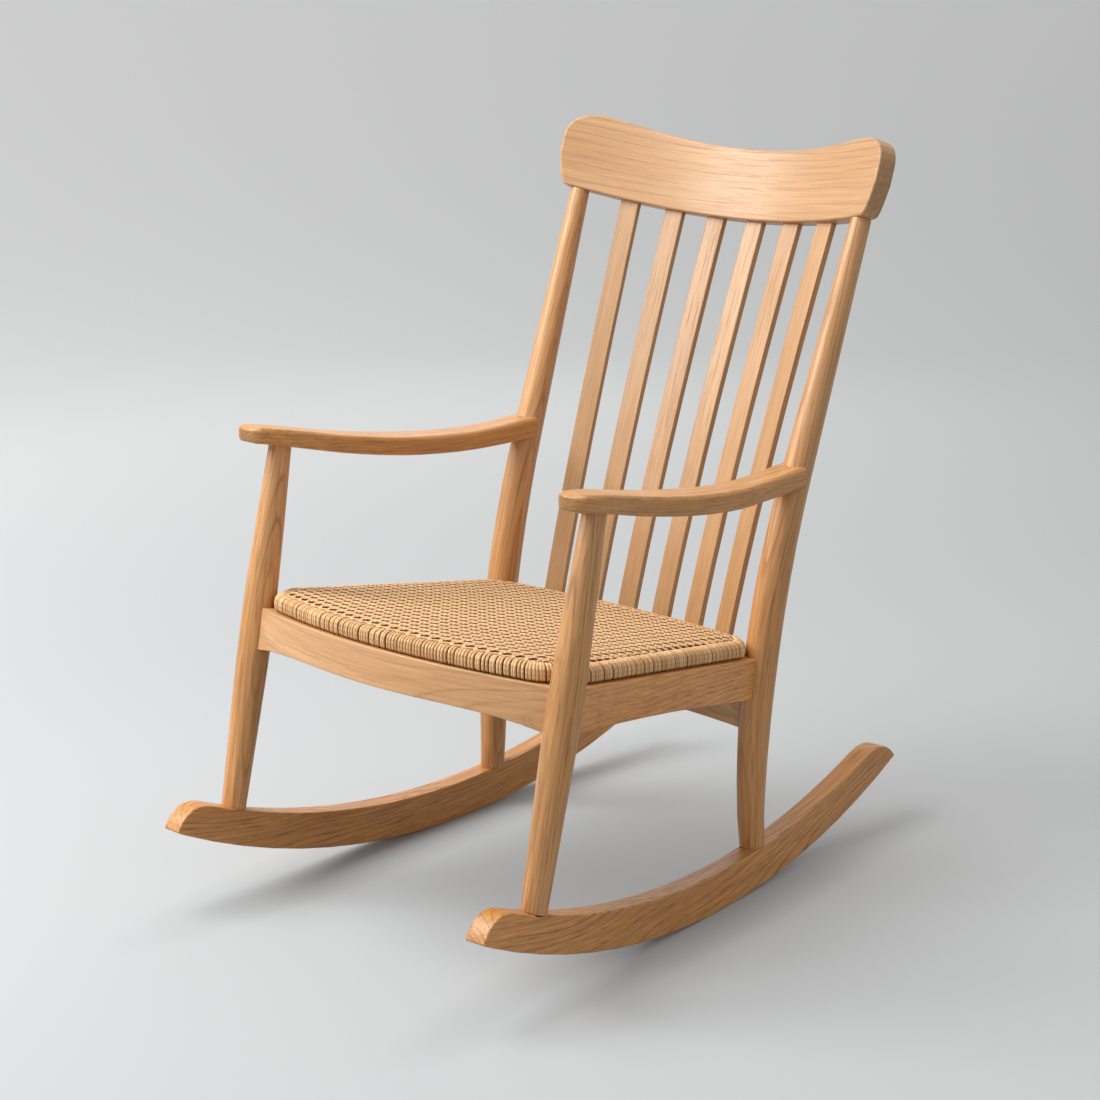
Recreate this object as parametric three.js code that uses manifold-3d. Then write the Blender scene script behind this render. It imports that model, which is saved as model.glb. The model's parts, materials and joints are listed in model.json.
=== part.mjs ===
// Slat-back rocking chair in light oak with a woven seat.
// Millimetres, +Z up. The chair faces -Y, and the sitter's left is +X.
// The shapes are worked out with Y measured from the line on which the chair balances.
// The last lines move the chair so that the origin is at the bottom centre of its bounding box.
import * as THREE from "three";
import { mergeVertices } from "three/addons/utils/BufferGeometryUtils.js";
import Module from "manifold-3d";

const wasm = await Module();
wasm.setup();

// Fits
const gap = 0.3;
const roundSides = 20;
const pinSides = 12;
const curveSteps = 16;
const copeShare = 2.4;

// Rockers
const rockerRadius = 1100;
const rockerTopRadius = 1150;
const rockerDepth = 56;
const rockerWidth = 31;
const rockerFrontReach = 509;
const rockerRearReach = 448;
const rockerFlat = 54;
const rockerSpacing = 504;
const rockerToeShare = 0.0489;
const tipRun = 60;
const tailRun = 84;
const tipTurnShare = 0.64;

// Each side of the chair is one frame: a rocker, a leg, a post, an arm and a side rail.
// Sideways places in it are measured outwards from the middle of its rocker.

// Front legs
const legFootOut = 22.5;
const legFootY = -400;
const legFootSink = 10;
const legHeadOut = 26;
const legHeadY = -287.3;
const legHeadHeight = 625.4;
const legFootDiameter = 33.5;
const legSeatDiameter = 45.5;
const legHeadDiameter = 30.5;
const legSwellRun = 69;
const legTaperRun = 58;
const legSeatDrop = 15;
const legTenonDiameter = 19;
const legTenonLength = 28;
const armTenonDiameter = 16;
const armTenonLength = 14;

// Back posts, each a rear leg and a stile in one bent piece
const postFootOut = -7.5;
const postFootY = 95.1;
const postFootSink = 8;
const postBendStart = { out: -10.7, y: 94, height: 107.7 };
const postBendCorner = { out: -13.7, y: 93.6, height: 342.5 };
const postBendEnd = { out: -9, y: 179.8, height: 574 };
const postTop = { out: -0.9, y: 306.9, height: 915.2 };
const postFootDiameter = 34.5;
const postSeatDiameter = 46.5;
const postHeadDiameter = 27.5;
const postSwellRun = 94;
const postTaperRun = 195;
const postSeatRise = 34;
const postTenonDiameter = 19;
const postTenonLength = 28;
const crestTenonDiameter = 15;
const crestTenonLength = 32;

// Seat plane: it falls towards the back
const seatFrontHeight = 404.2;
const seatFallShare = 0.1658;
const seatFall = 104;

// Seat rails, placed from the middle of the leg and of the post at rail height
const railThickness = 21;
const rearRailThickness = 28;
const tenonThickness = 10;
const tenonDepthShare = 0.55;
const tenonReach = 8;
const frontRailInset = 15.7;
const frontRailAhead = 5.2;
const frontRailBow = 49.4;
const frontRailDepth = 57.6;
const frontRailArch = 18.5;
const frontRailLeanShare = 0.2;
const frontTenonLength = 7;
const sideRailFrontOut = 4.9;
const sideRailFrontBehind = 7.1;
const sideRailRearOut = 6.2;
const sideRailRearAhead = 12.4;
const sideRailDepth = 60;
const sideRailArch = 6.2;
const sideTenonBehind = 11.8;
const rearRailBehind = 38.6;
const rearRailBow = 40;
const rearRailInset = 3.1;
const rearRailDepth = 101.6;
const rearRailArch = 10;
const rearRailLeanShare = 0.135;
const rearTenonInset = 11.1;

// Back slats, evenly spaced along the rear rail and along the crest rail
const slatPairs = 3;
const slatFootPitch = 62.6;
const slatHeadPitch = 70;
const slatFootBehind = 4.9;
const slatWidth = 30;
const slatThickness = 10;
const slatBend = 9;
const slatBendShare = 0.35;
const slatSocket = 16;
const slatSetback = 2;

// Crest rail: a bent board that leans like the slats
const crestDrop = 36.2;
const crestBehind = 50.7;
const crestThickness = 26;
const crestOverhang = 34.9;
const crestBow = 86;
const backLeanShare = 0.365;
const crestLowerOverhang = 16.9;
const crestLowerRise = 37;
const crestEndRise = 87;
const crestShoulderRise = 110;
const crestLobeInset = 1.1;
const crestLobeRise = 143;
const crestDip = 103;
const crestLobeShare = 0.755;
const crestTopSteps = 10;
const crestEndSteps = 8;

// Arms: stations from the nose to the post. Places along the arm and heights of its top face
// are measured from the head of the leg.
const armStationRuns = [-44.7, 8.7, 88.1, 188, 288.5, 370.4, 453.3];
const armOuterReaches = [54.5, 49.5, 42.8, 37.1, 28.7, 18, 14];
const armInnerReaches = [9, -6.4, -19.7, -24.6, -24, -28, -32];
const armTopRises = [24.6, 14.3, -3.9, -22.5, -35.5, -39.4, -37.4];
const armDepths = [23, 25, 26, 27, 27.5, 28, 30];
const armEase = 4;
const armCornerRun = 12;
const armNoseDrop = 3;
const armNoseRings = 3;
const armRearRun = 8;
const armDowelDiameter = 10;
const armDowelLength = 44;
const armDowelInArm = 26;

// Slip seat: a wooden frame inside a woven skin. Its corners are placed from the rails, the leg
// and the post.
const panelInset = 6;
const panelThickness = 25;
const panelCrown = 3;
const panelFrontMiddleAhead = 43.5;
const panelFrontEnd = { inset: 34.6, ahead: 5.5 };
const panelFrontTurn = { inset: 21.6, ahead: 0 };
const panelLegStart = { inset: 27.3, behind: 12.8 };
const panelLegEnd = { inset: 12.3, behind: 38.8 };
const panelSideStartBehind = 59.8;
const panelSideEndAhead = 44.4;
const panelRearTurn = { inset: 4.1, ahead: 16.4 };
const panelRearEnd = { inset: 32.1, ahead: 0.9 };
const panelRearGap = 3;
const panelEdge = 8;
const edgeRunShare = 0.3;
const edgeRiseShare = 0.35;
const panelCrownRun = 40;
const skinThickness = 4;
const skinCorner = panelEdge / 4;
const skinReturn = 22;
const seatFrameWidth = 42;
const seatFrameFrontBehind = 86;
const seatFrameRearAhead = 50.4;

// Corner blocks and the screws that hold the slip seat down
const frontBlockLeg = 102;
const rearBlockLeg = 120;
const blockDepth = 26;
const blockDrop = 4;
const screwShank = 4.2;
const screwHead = 8.4;
const screwHeadHeight = 3;
const seatScrewLength = 44;
const frontScrewInset = new THREE.Vector2(40, 42);
const rearScrewInset = new THREE.Vector2(43, 59);

const woodRoughness = 0.5;
const weaveRoughness = 0.8;
const oak = {
  leg: 0xd2a06a,
  rail: 0xcf9c66,
  board: 0xdcae7a,
  hidden: 0xc9a070,
  weave: 0xd2ab74,
  steel: 0x9a9a98,
};

// Solids

function solidOf(geometry) {
  const bare = geometry.clone();
  bare.deleteAttribute("normal");
  bare.deleteAttribute("uv");
  const merged = mergeVertices(bare);
  const vertProperties = new Float32Array(merged.attributes.position.array);
  const triVerts = new Uint32Array(merged.index.array);
  return new wasm.Manifold(new wasm.Mesh({ numProp: 3, vertProperties, triVerts }));
}

function geometryOf(solid) {
  const mesh = solid.getMesh();
  const geometry = new THREE.BufferGeometry();
  geometry.setAttribute("position", new THREE.BufferAttribute(new Float32Array(mesh.vertProperties), 3));
  geometry.setIndex(new THREE.BufferAttribute(new Uint32Array(mesh.triVerts), 1));
  return geometry;
}

function signedVolume(geometry) {
  const position = geometry.attributes.position;
  const index = geometry.index;
  const a = new THREE.Vector3();
  const b = new THREE.Vector3();
  const c = new THREE.Vector3();
  let volume = 0;
  for (let i = 0; i < index.count; i += 3) {
    a.fromBufferAttribute(position, index.getX(i));
    b.fromBufferAttribute(position, index.getX(i + 1));
    c.fromBufferAttribute(position, index.getX(i + 2));
    volume += a.dot(b.cross(c));
  }
  return volume;
}

function flipped(geometry) {
  const index = geometry.index.array;
  for (let i = 0; i < index.length; i += 3) {
    const first = index[i];
    index[i] = index[i + 1];
    index[i + 1] = first;
  }
  return geometry;
}

// Skins a row of rings that have the same number of points, and closes both ends.
function loft(rings) {
  const sides = rings[0].length;
  const positions = [];
  const faces = [];
  for (const ring of rings) {
    for (const point of ring) {
      positions.push(point.x, point.y, point.z);
    }
  }
  for (let i = 0; i + 1 < rings.length; i += 1) {
    for (let j = 0; j < sides; j += 1) {
      const next = (j + 1) % sides;
      const a = i * sides + j;
      const b = i * sides + next;
      faces.push(a, b, b + sides, a, b + sides, a + sides);
    }
  }
  const last = (rings.length - 1) * sides;
  for (let j = 1; j + 1 < sides; j += 1) {
    faces.push(0, j + 1, j, last, last + j, last + j + 1);
  }
  const geometry = new THREE.BufferGeometry();
  geometry.setAttribute("position", new THREE.BufferAttribute(new Float32Array(positions), 3));
  geometry.setIndex(new THREE.BufferAttribute(new Uint32Array(faces), 1));
  return signedVolume(geometry) < 0 ? flipped(geometry) : geometry;
}

function mirrored(geometry) {
  const copy = geometry.clone();
  copy.scale(-1, 1, 1);
  return flipped(copy);
}

function ringAt(centre, direction, radius, sides) {
  const across = new THREE.Vector3(1, 0, 0).cross(direction).normalize();
  const beside = direction.clone().cross(across).normalize();
  const ring = [];
  for (let j = 0; j < sides; j += 1) {
    const angle = (j / sides) * 2 * Math.PI;
    const point = centre.clone();
    point.addScaledVector(beside, radius * Math.cos(angle));
    point.addScaledVector(across, radius * Math.sin(angle));
    ring.push(point);
  }
  return ring;
}

function rod(start, end, radius, sides) {
  const direction = end.clone().sub(start).normalize();
  return solidOf(loft([ringAt(start, direction, radius, sides), ringAt(end, direction, radius, sides)]));
}

// A box from its middle, three unit directions and three full sizes.
function block(middle, directions, sizes) {
  const rings = [-0.5, 0.5].map((along) => {
    const corners = [[-0.5, -0.5], [0.5, -0.5], [0.5, 0.5], [-0.5, 0.5]];
    return corners.map(([second, third]) => {
      const point = middle.clone();
      point.addScaledVector(directions[0], along * sizes[0]);
      point.addScaledVector(directions[1], second * sizes[1]);
      point.addScaledVector(directions[2], third * sizes[2]);
      return point;
    });
  });
  return solidOf(loft(rings));
}

function curveThrough(xs, ys) {
  return new THREE.SplineCurve(xs.map((x, i) => new THREE.Vector2(x, ys[i])));
}

// Rocker: the underside is a row of flats on a circle, and one flat lies on the floor.

function underPoint(reach) {
  return new THREE.Vector2(reach, rockerRadius - Math.sqrt(rockerRadius ** 2 - reach ** 2));
}

function topPoint(reach) {
  const drop = Math.sqrt(rockerTopRadius ** 2 - reach ** 2);
  return new THREE.Vector2(reach, rockerDepth + rockerTopRadius - drop);
}

function topTurn(start, run) {
  const slope = start.x / (rockerTopRadius + rockerDepth - start.y);
  return new THREE.Vector2(start.x + run, start.y + slope * run);
}

function rockerOutline(lift) {
  const flatAngle = 2 * Math.atan(rockerFlat / 2 / rockerRadius);
  const cornerRadius = rockerRadius / Math.cos(flatAngle / 2);
  const frontAngle = Math.asin(rockerFrontReach / rockerRadius);
  const rearAngle = Math.asin(rockerRearReach / rockerRadius);
  const shape = new THREE.Shape();
  const tip = underPoint(-rockerFrontReach);
  const tail = underPoint(rockerRearReach);
  shape.moveTo(tip.x, tip.y + lift);
  const frontFlats = Math.round(frontAngle / flatAngle);
  const rearFlats = Math.round(rearAngle / flatAngle);
  for (let flat = -frontFlats; flat < rearFlats; flat += 1) {
    const angle = flat * flatAngle + flatAngle / 2;
    const height = rockerRadius - cornerRadius * Math.cos(angle);
    shape.lineTo(cornerRadius * Math.sin(angle), height + lift);
  }
  shape.lineTo(tail.x, tail.y + lift);
  const tailStart = topPoint(rockerRearReach - tailRun);
  const tailTurn = topTurn(tailStart, tailRun * tipTurnShare);
  shape.quadraticCurveTo(tailTurn.x, tailTurn.y + lift, tailStart.x, tailStart.y + lift);
  const tipStart = topPoint(-rockerFrontReach + tipRun);
  const steps = curveSteps * 2;
  for (let i = 1; i <= steps; i += 1) {
    const point = topPoint(tailStart.x + (tipStart.x - tailStart.x) * (i / steps));
    shape.lineTo(point.x, point.y + lift);
  }
  const tipTurn = topTurn(tipStart, -tipRun * tipTurnShare);
  shape.quadraticCurveTo(tipTurn.x, tipTurn.y + lift, tip.x, tip.y + lift);
  return shape;
}

function rockerSolid(width, lift) {
  const shape = rockerOutline(lift);
  const options = { depth: width, bevelEnabled: false, curveSegments: curveSteps / 2 };
  const geometry = new THREE.ExtrudeGeometry(shape, options);
  geometry.translate(0, 0, -width / 2);
  const along = new THREE.Vector3(-rockerToeShare, 1, 0).normalize();
  const up = new THREE.Vector3(0, 0, 1);
  const frame = new THREE.Matrix4().makeBasis(along, up, along.clone().cross(up));
  frame.setPosition(rockerSpacing / 2, 0, 0);
  geometry.applyMatrix4(frame);
  return solidOf(geometry);
}

// Legs and posts: round members whose radius swells towards the seat.

function swellPoints(footRadius, seatRadius, headRadius, seat, swell, taper, length) {
  const lower = new THREE.QuadraticBezierCurve(
    new THREE.Vector2(0, footRadius),
    new THREE.Vector2(seat - swell, seatRadius),
    new THREE.Vector2(seat, seatRadius),
  );
  const upper = new THREE.QuadraticBezierCurve(
    new THREE.Vector2(seat, seatRadius),
    new THREE.Vector2(seat + taper, seatRadius),
    new THREE.Vector2(length, headRadius),
  );
  return [...lower.getPoints(curveSteps / 2 - 1), ...upper.getPoints(curveSteps - 4).slice(1)];
}

function roundMember(path, profile, grow) {
  const length = path.getLength();
  const rings = profile.map((point) => {
    const share = point.x / length;
    return ringAt(path.getPointAt(share), path.getTangentAt(share), point.y + grow, roundSides);
  });
  return solidOf(loft(rings));
}

const sideX = rockerSpacing / 2;
const legFoot = new THREE.Vector3(sideX + legFootOut, legFootY, topPoint(legFootY).y - legFootSink);
const legHead = new THREE.Vector3(sideX + legHeadOut, legHeadY, legHeadHeight);
const legPath = new THREE.LineCurve3(legFoot, legHead);
const legSeatRun = seatFrontHeight - legFoot.z - legSeatDrop;
const legProfile = swellPoints(
  legFootDiameter / 2, legSeatDiameter / 2, legHeadDiameter / 2,
  legSeatRun, legSwellRun, legTaperRun, legPath.getLength(),
);

const postPoint = (place) => new THREE.Vector3(sideX + place.out, place.y, place.height);
const postFoot = new THREE.Vector3(sideX + postFootOut, postFootY, topPoint(postFootY).y - postFootSink);
const postHead = postPoint(postTop);
const postBend = new THREE.QuadraticBezierCurve3(
  postPoint(postBendStart), postPoint(postBendCorner), postPoint(postBendEnd),
);
const postPath = new THREE.CurvePath();
postPath.add(new THREE.LineCurve3(postFoot, postBend.v0));
postPath.add(postBend);
postPath.add(new THREE.LineCurve3(postBend.v2, postHead));
const postSeatRun = seatFrontHeight - seatFall - postFoot.z + postSeatRise;
const postProfile = swellPoints(
  postFootDiameter / 2, postSeatDiameter / 2, postHeadDiameter / 2,
  postSeatRun, postSwellRun, postTaperRun, postPath.getLength(),
);

const legBody = (grow) => roundMember(legPath, legProfile, grow);
const postBody = (grow) => roundMember(postPath, postProfile, grow);

function endPeg(path, share, inward, length, diameter, grow) {
  const point = path.getPointAt(share);
  const direction = path.getTangentAt(share);
  const side = share > 0 ? 1 : -1;
  const start = point.clone().addScaledVector(direction, -side * inward);
  const end = point.clone().addScaledVector(direction, side * (length + grow));
  return rod(start, end, diameter / 2 + grow, roundSides);
}

// The middles of the leg and of the post at rail height carry the seat.

function postCentre(height) {
  const share = (height - postBend.v0.z) / (postBend.v2.z - postBend.v0.z);
  return postBend.getPoint(share);
}

const legRailShare = (seatFrontHeight - frontRailDepth / 2 - legFoot.z) / (legHead.z - legFoot.z);
const legAtSeat = legFoot.clone().lerp(legHead, legRailShare);
const postAtSeat = postCentre(seatFrontHeight - seatFall);
const seatFrontY = legAtSeat.y - frontRailAhead;

function seatHeight(y) {
  return seatFrontHeight - seatFallShare * (y - seatFrontY);
}

// Crest rail: sections across the board, bent to a parabola in plan and leaned back.

const crestTilt = Math.atan(backLeanShare);
const crestY = postHead.y + crestBehind;
const crestHeight = postHead.z - crestDrop;
const crestHalf = postHead.x + crestOverhang;
const crestLowerX = postHead.x + crestLowerOverhang;
const crestLobeX = postHead.x - crestLobeInset;
const crestRise = crestBow / crestHalf ** 2;

function crestPoint(x, rise, depth) {
  const slope = 2 * crestRise * x;
  const up = new THREE.Vector3(0, Math.sin(crestTilt), Math.cos(crestTilt));
  const back = new THREE.Vector3(slope * up.z, up.z, -up.y).normalize();
  const point = new THREE.Vector3(x, crestY - crestRise * x * x, crestHeight);
  return point.addScaledVector(up, rise).addScaledVector(back, depth);
}

function crestLower(x) {
  if (x <= crestLowerX) {
    return crestLowerRise * (x / crestLowerX) ** 2;
  }
  const share = (x - crestLowerX) / (crestHalf - crestLowerX);
  return crestLowerRise + (crestEndRise - crestLowerRise) * share ** 2;
}

const crestTopCurve = new THREE.CubicBezierCurve(
  new THREE.Vector2(0, crestDip),
  new THREE.Vector2(crestHalf / 2, crestDip),
  new THREE.Vector2(crestHalf * crestLobeShare, crestLobeRise),
  new THREE.Vector2(crestLobeX, crestLobeRise),
);
const crestEndCurve = new THREE.QuadraticBezierCurve(
  new THREE.Vector2(crestLobeX, crestLobeRise),
  new THREE.Vector2(crestHalf, crestLobeRise),
  new THREE.Vector2(crestHalf, crestShoulderRise),
);

function crestSolid(thickness, drop) {
  const top = crestTopCurve.getPoints(crestTopSteps);
  const half = [...top, ...crestEndCurve.getPoints(crestEndSteps).slice(1)];
  const stations = [...half.slice(1).reverse().map((p) => new THREE.Vector2(-p.x, p.y)), ...half];
  const rings = stations.map((station) => {
    const lower = crestLower(Math.abs(station.x)) - drop;
    const x = station.x;
    return [
      crestPoint(x, lower, -thickness / 2),
      crestPoint(x, station.y, -thickness / 2),
      crestPoint(x, station.y, thickness / 2),
      crestPoint(x, lower, thickness / 2),
    ];
  });
  return solidOf(loft(rings));
}

// Seat rails

const frontRailHalf = legAtSeat.x - frontRailInset;
const sideRailFront = legAtSeat.clone()
  .add(new THREE.Vector3(sideRailFrontOut, sideRailFrontBehind, 0))
  .setZ(0);
const sideRailRear = postAtSeat.clone()
  .add(new THREE.Vector3(sideRailRearOut, -sideRailRearAhead, 0))
  .setZ(0);
const rearRailMiddleY = postAtSeat.y + rearRailBehind;
const rearRailHalf = postAtSeat.x - rearRailInset;
const rearRailTop = seatHeight(rearRailMiddleY);
const rearRailBottom = rearRailTop - rearRailDepth;

function railStations(from, to, steps) {
  return Array.from({ length: steps + 1 }, (_, i) => from + ((to - from) * i) / steps);
}

function frontRailSolid(grow) {
  const rings = railStations(-frontRailHalf, frontRailHalf, curveSteps).map((x) => {
    const share = x / frontRailHalf;
    const face = seatFrontY - frontRailBow * (1 - share ** 2);
    const top = seatHeight(face);
    const bottom = seatFrontHeight - frontRailDepth + frontRailArch * (1 - share ** 4);
    const lean = frontRailLeanShare * (top - bottom);
    return [
      new THREE.Vector3(x, face - lean - grow, bottom - grow),
      new THREE.Vector3(x, face - lean + railThickness + grow, bottom - grow),
      new THREE.Vector3(x, face + railThickness + grow, seatHeight(face + railThickness) + grow),
      new THREE.Vector3(x, face - grow, top + grow),
    ];
  });
  return solidOf(loft(rings));
}

const sideRailAlong = sideRailRear.clone().sub(sideRailFront).normalize();
const sideRailInward = new THREE.Vector3(0, 0, 1).cross(sideRailAlong);

function sideRailSolid(grow) {
  const rings = railStations(0, 1, curveSteps / 2).map((share) => {
    const outer = sideRailFront.clone().lerp(sideRailRear, share).addScaledVector(sideRailInward, -grow);
    const inner = outer.clone().addScaledVector(sideRailInward, railThickness + 2 * grow);
    const arch = sideRailArch * (1 - (2 * share - 1) ** 2);
    return [
      [outer, -sideRailDepth + arch - grow],
      [inner, -sideRailDepth + arch - grow],
      [inner, grow],
      [outer, grow],
    ].map(([point, rise]) => new THREE.Vector3(point.x, point.y, seatHeight(point.y) + rise));
  });
  return solidOf(loft(rings));
}

function rearRailY(x, height) {
  const lean = rearRailLeanShare * (height - rearRailTop);
  return rearRailMiddleY - rearRailBow * (x / rearRailHalf) ** 2 + lean;
}

function rearRailSolid(grow) {
  const rings = railStations(-rearRailHalf, rearRailHalf, curveSteps).map((x) => {
    const bottom = rearRailBottom + rearRailArch * (x / rearRailHalf) ** 2 - grow;
    const half = rearRailThickness / 2 + grow;
    const low = rearRailY(x, bottom);
    const high = rearRailY(x, rearRailTop);
    return [
      new THREE.Vector3(x, low - half, bottom),
      new THREE.Vector3(x, low + half, bottom),
      new THREE.Vector3(x, high + half, seatHeight(high + half) + grow),
      new THREE.Vector3(x, high - half, seatHeight(high - half) + grow),
    ];
  });
  return solidOf(loft(rings));
}

// Rail tenons: flat tongues that end inside the leg or the post.

// A tongue lies on the line from its tip to its root, and leans like its rail.
function tongue(tip, root, lean, depth, grow) {
  const along = root.clone().sub(tip).normalize();
  const up = new THREE.Vector3(0, lean, 1);
  const across = up.clone().cross(along).normalize();
  const height = along.clone().cross(across).normalize();
  const middle = tip.clone().add(root).multiplyScalar(0.5);
  const sizes = [tip.distanceTo(root) + 2 * grow, tenonThickness + 2 * grow, depth + 2 * grow];
  return block(middle, [along, across, height], sizes);
}

function frontTongue(grow) {
  const height = seatFrontHeight - frontRailDepth / 2;
  const lean = (frontRailLeanShare * frontRailDepth) / 2;
  const end = new THREE.Vector3(frontRailHalf, seatFrontY + railThickness / 2 - lean, height);
  const slope = (2 * frontRailBow) / frontRailHalf;
  const inward = new THREE.Vector3(-1, -slope, 0).normalize();
  const tip = end.clone().addScaledVector(inward, -frontTenonLength);
  const root = end.clone().addScaledVector(inward, frontTenonLength + tenonReach);
  return tongue(tip, root, frontRailLeanShare, frontRailDepth * tenonDepthShare, grow);
}

function sideRailPoint(y) {
  const share = (y - sideRailFront.y) / (sideRailRear.y - sideRailFront.y);
  const point = sideRailFront.clone().lerp(sideRailRear, share);
  return point.addScaledVector(sideRailInward, railThickness / 2).setZ(seatHeight(y) - sideRailDepth / 2);
}

function sideFrontTongue(grow) {
  const tip = legAtSeat.y + sideTenonBehind;
  const root = tip + legSeatDiameter / 2;
  return tongue(sideRailPoint(tip), sideRailPoint(root), 0, sideRailDepth * tenonDepthShare, grow);
}

function sideRearTongue(grow) {
  const tip = sideRailRear.y;
  const root = tip - postSeatDiameter / 2;
  return tongue(sideRailPoint(tip), sideRailPoint(root), 0, sideRailDepth * tenonDepthShare, grow);
}

function rearTongue(grow) {
  const height = (rearRailTop + rearRailBottom) / 2;
  const rearTenonX = postAtSeat.x - rearTenonInset;
  const rootX = rearTenonX - postSeatDiameter / 2;
  const tip = new THREE.Vector3(rearTenonX, rearRailY(rearTenonX, height), height);
  const root = new THREE.Vector3(rootX, rearRailY(rootX, height), height);
  return tongue(tip, root, rearRailLeanShare, rearRailDepth * tenonDepthShare, grow);
}

// Slats: gently bent, turned in plan to face the sitter, and housed at both ends.

function slatSolid(index, grow) {
  const footX = index * slatFootPitch + slatFootPitch / 2;
  const headX = index * slatHeadPitch + slatHeadPitch / 2;
  const footY = rearRailY(footX, rearRailTop) + slatFootBehind;
  const foot = new THREE.Vector3(footX, footY, seatHeight(footY));
  const head = crestPoint(headX, crestLower(headX), slatSetback);
  const direction = head.clone().sub(foot).normalize();
  const seatEnd = foot.clone().addScaledVector(direction, -slatSocket - grow);
  const crestEnd = head.clone().addScaledVector(direction, slatSocket + grow);
  const turn = Math.atan((-2 * rearRailBow * footX) / rearRailHalf ** 2);
  const face = new THREE.Vector3(Math.cos(turn), Math.sin(turn), 0);
  const back = direction.clone().cross(face).normalize();
  const across = back.clone().cross(direction).normalize();
  const control = seatEnd.clone().lerp(crestEnd, slatBendShare).addScaledVector(back, -2 * slatBend);
  const path = new THREE.QuadraticBezierCurve3(seatEnd, control, crestEnd);
  const rings = railStations(0, 1, curveSteps / 2).map((share) => {
    const depth = path.getTangent(share).cross(across);
    const corners = [[-0.5, -0.5], [0.5, -0.5], [0.5, 0.5], [-0.5, 0.5]];
    return corners.map(([wide, deep]) => {
      const point = path.getPoint(share).addScaledVector(across, wide * (slatWidth + 2 * grow));
      return point.addScaledVector(depth, deep * (slatThickness + 2 * grow));
    });
  });
  return solidOf(loft(rings));
}

// Arms: sections across the arm, with eased edges and a blunt rounded nose.

const armRunsY = armStationRuns.map((run) => legHead.y + run);
const armTopHeights = armTopRises.map((rise) => legHead.z + rise);
const armOuterX = armOuterReaches.map((out) => sideX + out);
const armInnerX = armInnerReaches.map((out) => sideX + out);
const armTop = curveThrough(armRunsY, armTopHeights);
const armOuter = curveThrough(armRunsY, armOuterX);
const armInner = curveThrough(armRunsY, armInnerX);
const armDepth = curveThrough(armRunsY, armDepths);

function armSection(y, top, outer, inner, depth, grow) {
  const lower = top - depth - grow;
  const upper = top + grow;
  const left = inner - grow;
  const right = outer + grow;
  return [
    [left + armEase, lower], [right - armEase, lower], [right, lower + armEase], [right, upper - armEase],
    [right - armEase, upper], [left + armEase, upper], [left, upper - armEase], [left, lower + armEase],
  ].map(([x, z]) => new THREE.Vector3(x, y, z));
}

function armSolid(grow) {
  const rings = [];
  const front = armRunsY[0];
  for (let i = 0; i < armNoseRings; i += 1) {
    const share = i / armNoseRings;
    const setback = armCornerRun * (1 - Math.sqrt(1 - (1 - share) ** 2));
    const drop = armNoseDrop * (1 - share) ** 2;
    const y = front - armCornerRun * (1 - share);
    const top = armTopHeights[0] - drop;
    const depth = armDepths[0] - 2 * drop;
    rings.push(armSection(y, top, armOuterX[0] - setback, armInnerX[0] + setback, depth, grow));
  }
  for (const share of railStations(0, 1, curveSteps)) {
    const y = armTop.getPoint(share).x;
    rings.push(armSection(
      y, armTop.getPoint(share).y, armOuter.getPoint(share).y, armInner.getPoint(share).y,
      armDepth.getPoint(share).y, grow,
    ));
  }
  const last = armRunsY.length - 1;
  const rearY = armRunsY[last] + armRearRun;
  rings.push(armSection(
    rearY, armTopHeights[last], armOuterX[last], armInnerX[last], armDepths[last], grow,
  ));
  return solidOf(loft(rings));
}

function armDowel(grow) {
  const height = armTopHeights[armTopHeights.length - 1] - armDepths[armDepths.length - 1] / 2;
  const face = postCentre(height).add(new THREE.Vector3(0, -postSeatDiameter / 2, 0));
  const start = face.clone().add(new THREE.Vector3(0, -armDowelInArm - grow, 0));
  const end = face.clone().add(new THREE.Vector3(0, armDowelLength - armDowelInArm + grow, 0));
  return rod(start, end, armDowelDiameter / 2 + grow, pinSides);
}

// Slip seat: the outline in plan. Heights are measured from the seat plane.

function sideRailX(y) {
  const share = (y - sideRailFront.y) / (sideRailRear.y - sideRailFront.y);
  return sideRailFront.x + (sideRailRear.x - sideRailFront.x) * share;
}

const panelFrontMiddleY = seatFrontY - panelFrontMiddleAhead;
const panelRearMiddleY = rearRailMiddleY - rearRailThickness / 2 - panelRearGap;
const panelSideStartY = legAtSeat.y + panelSideStartBehind;
const panelSideEndY = postAtSeat.y - panelSideEndAhead;

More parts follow.
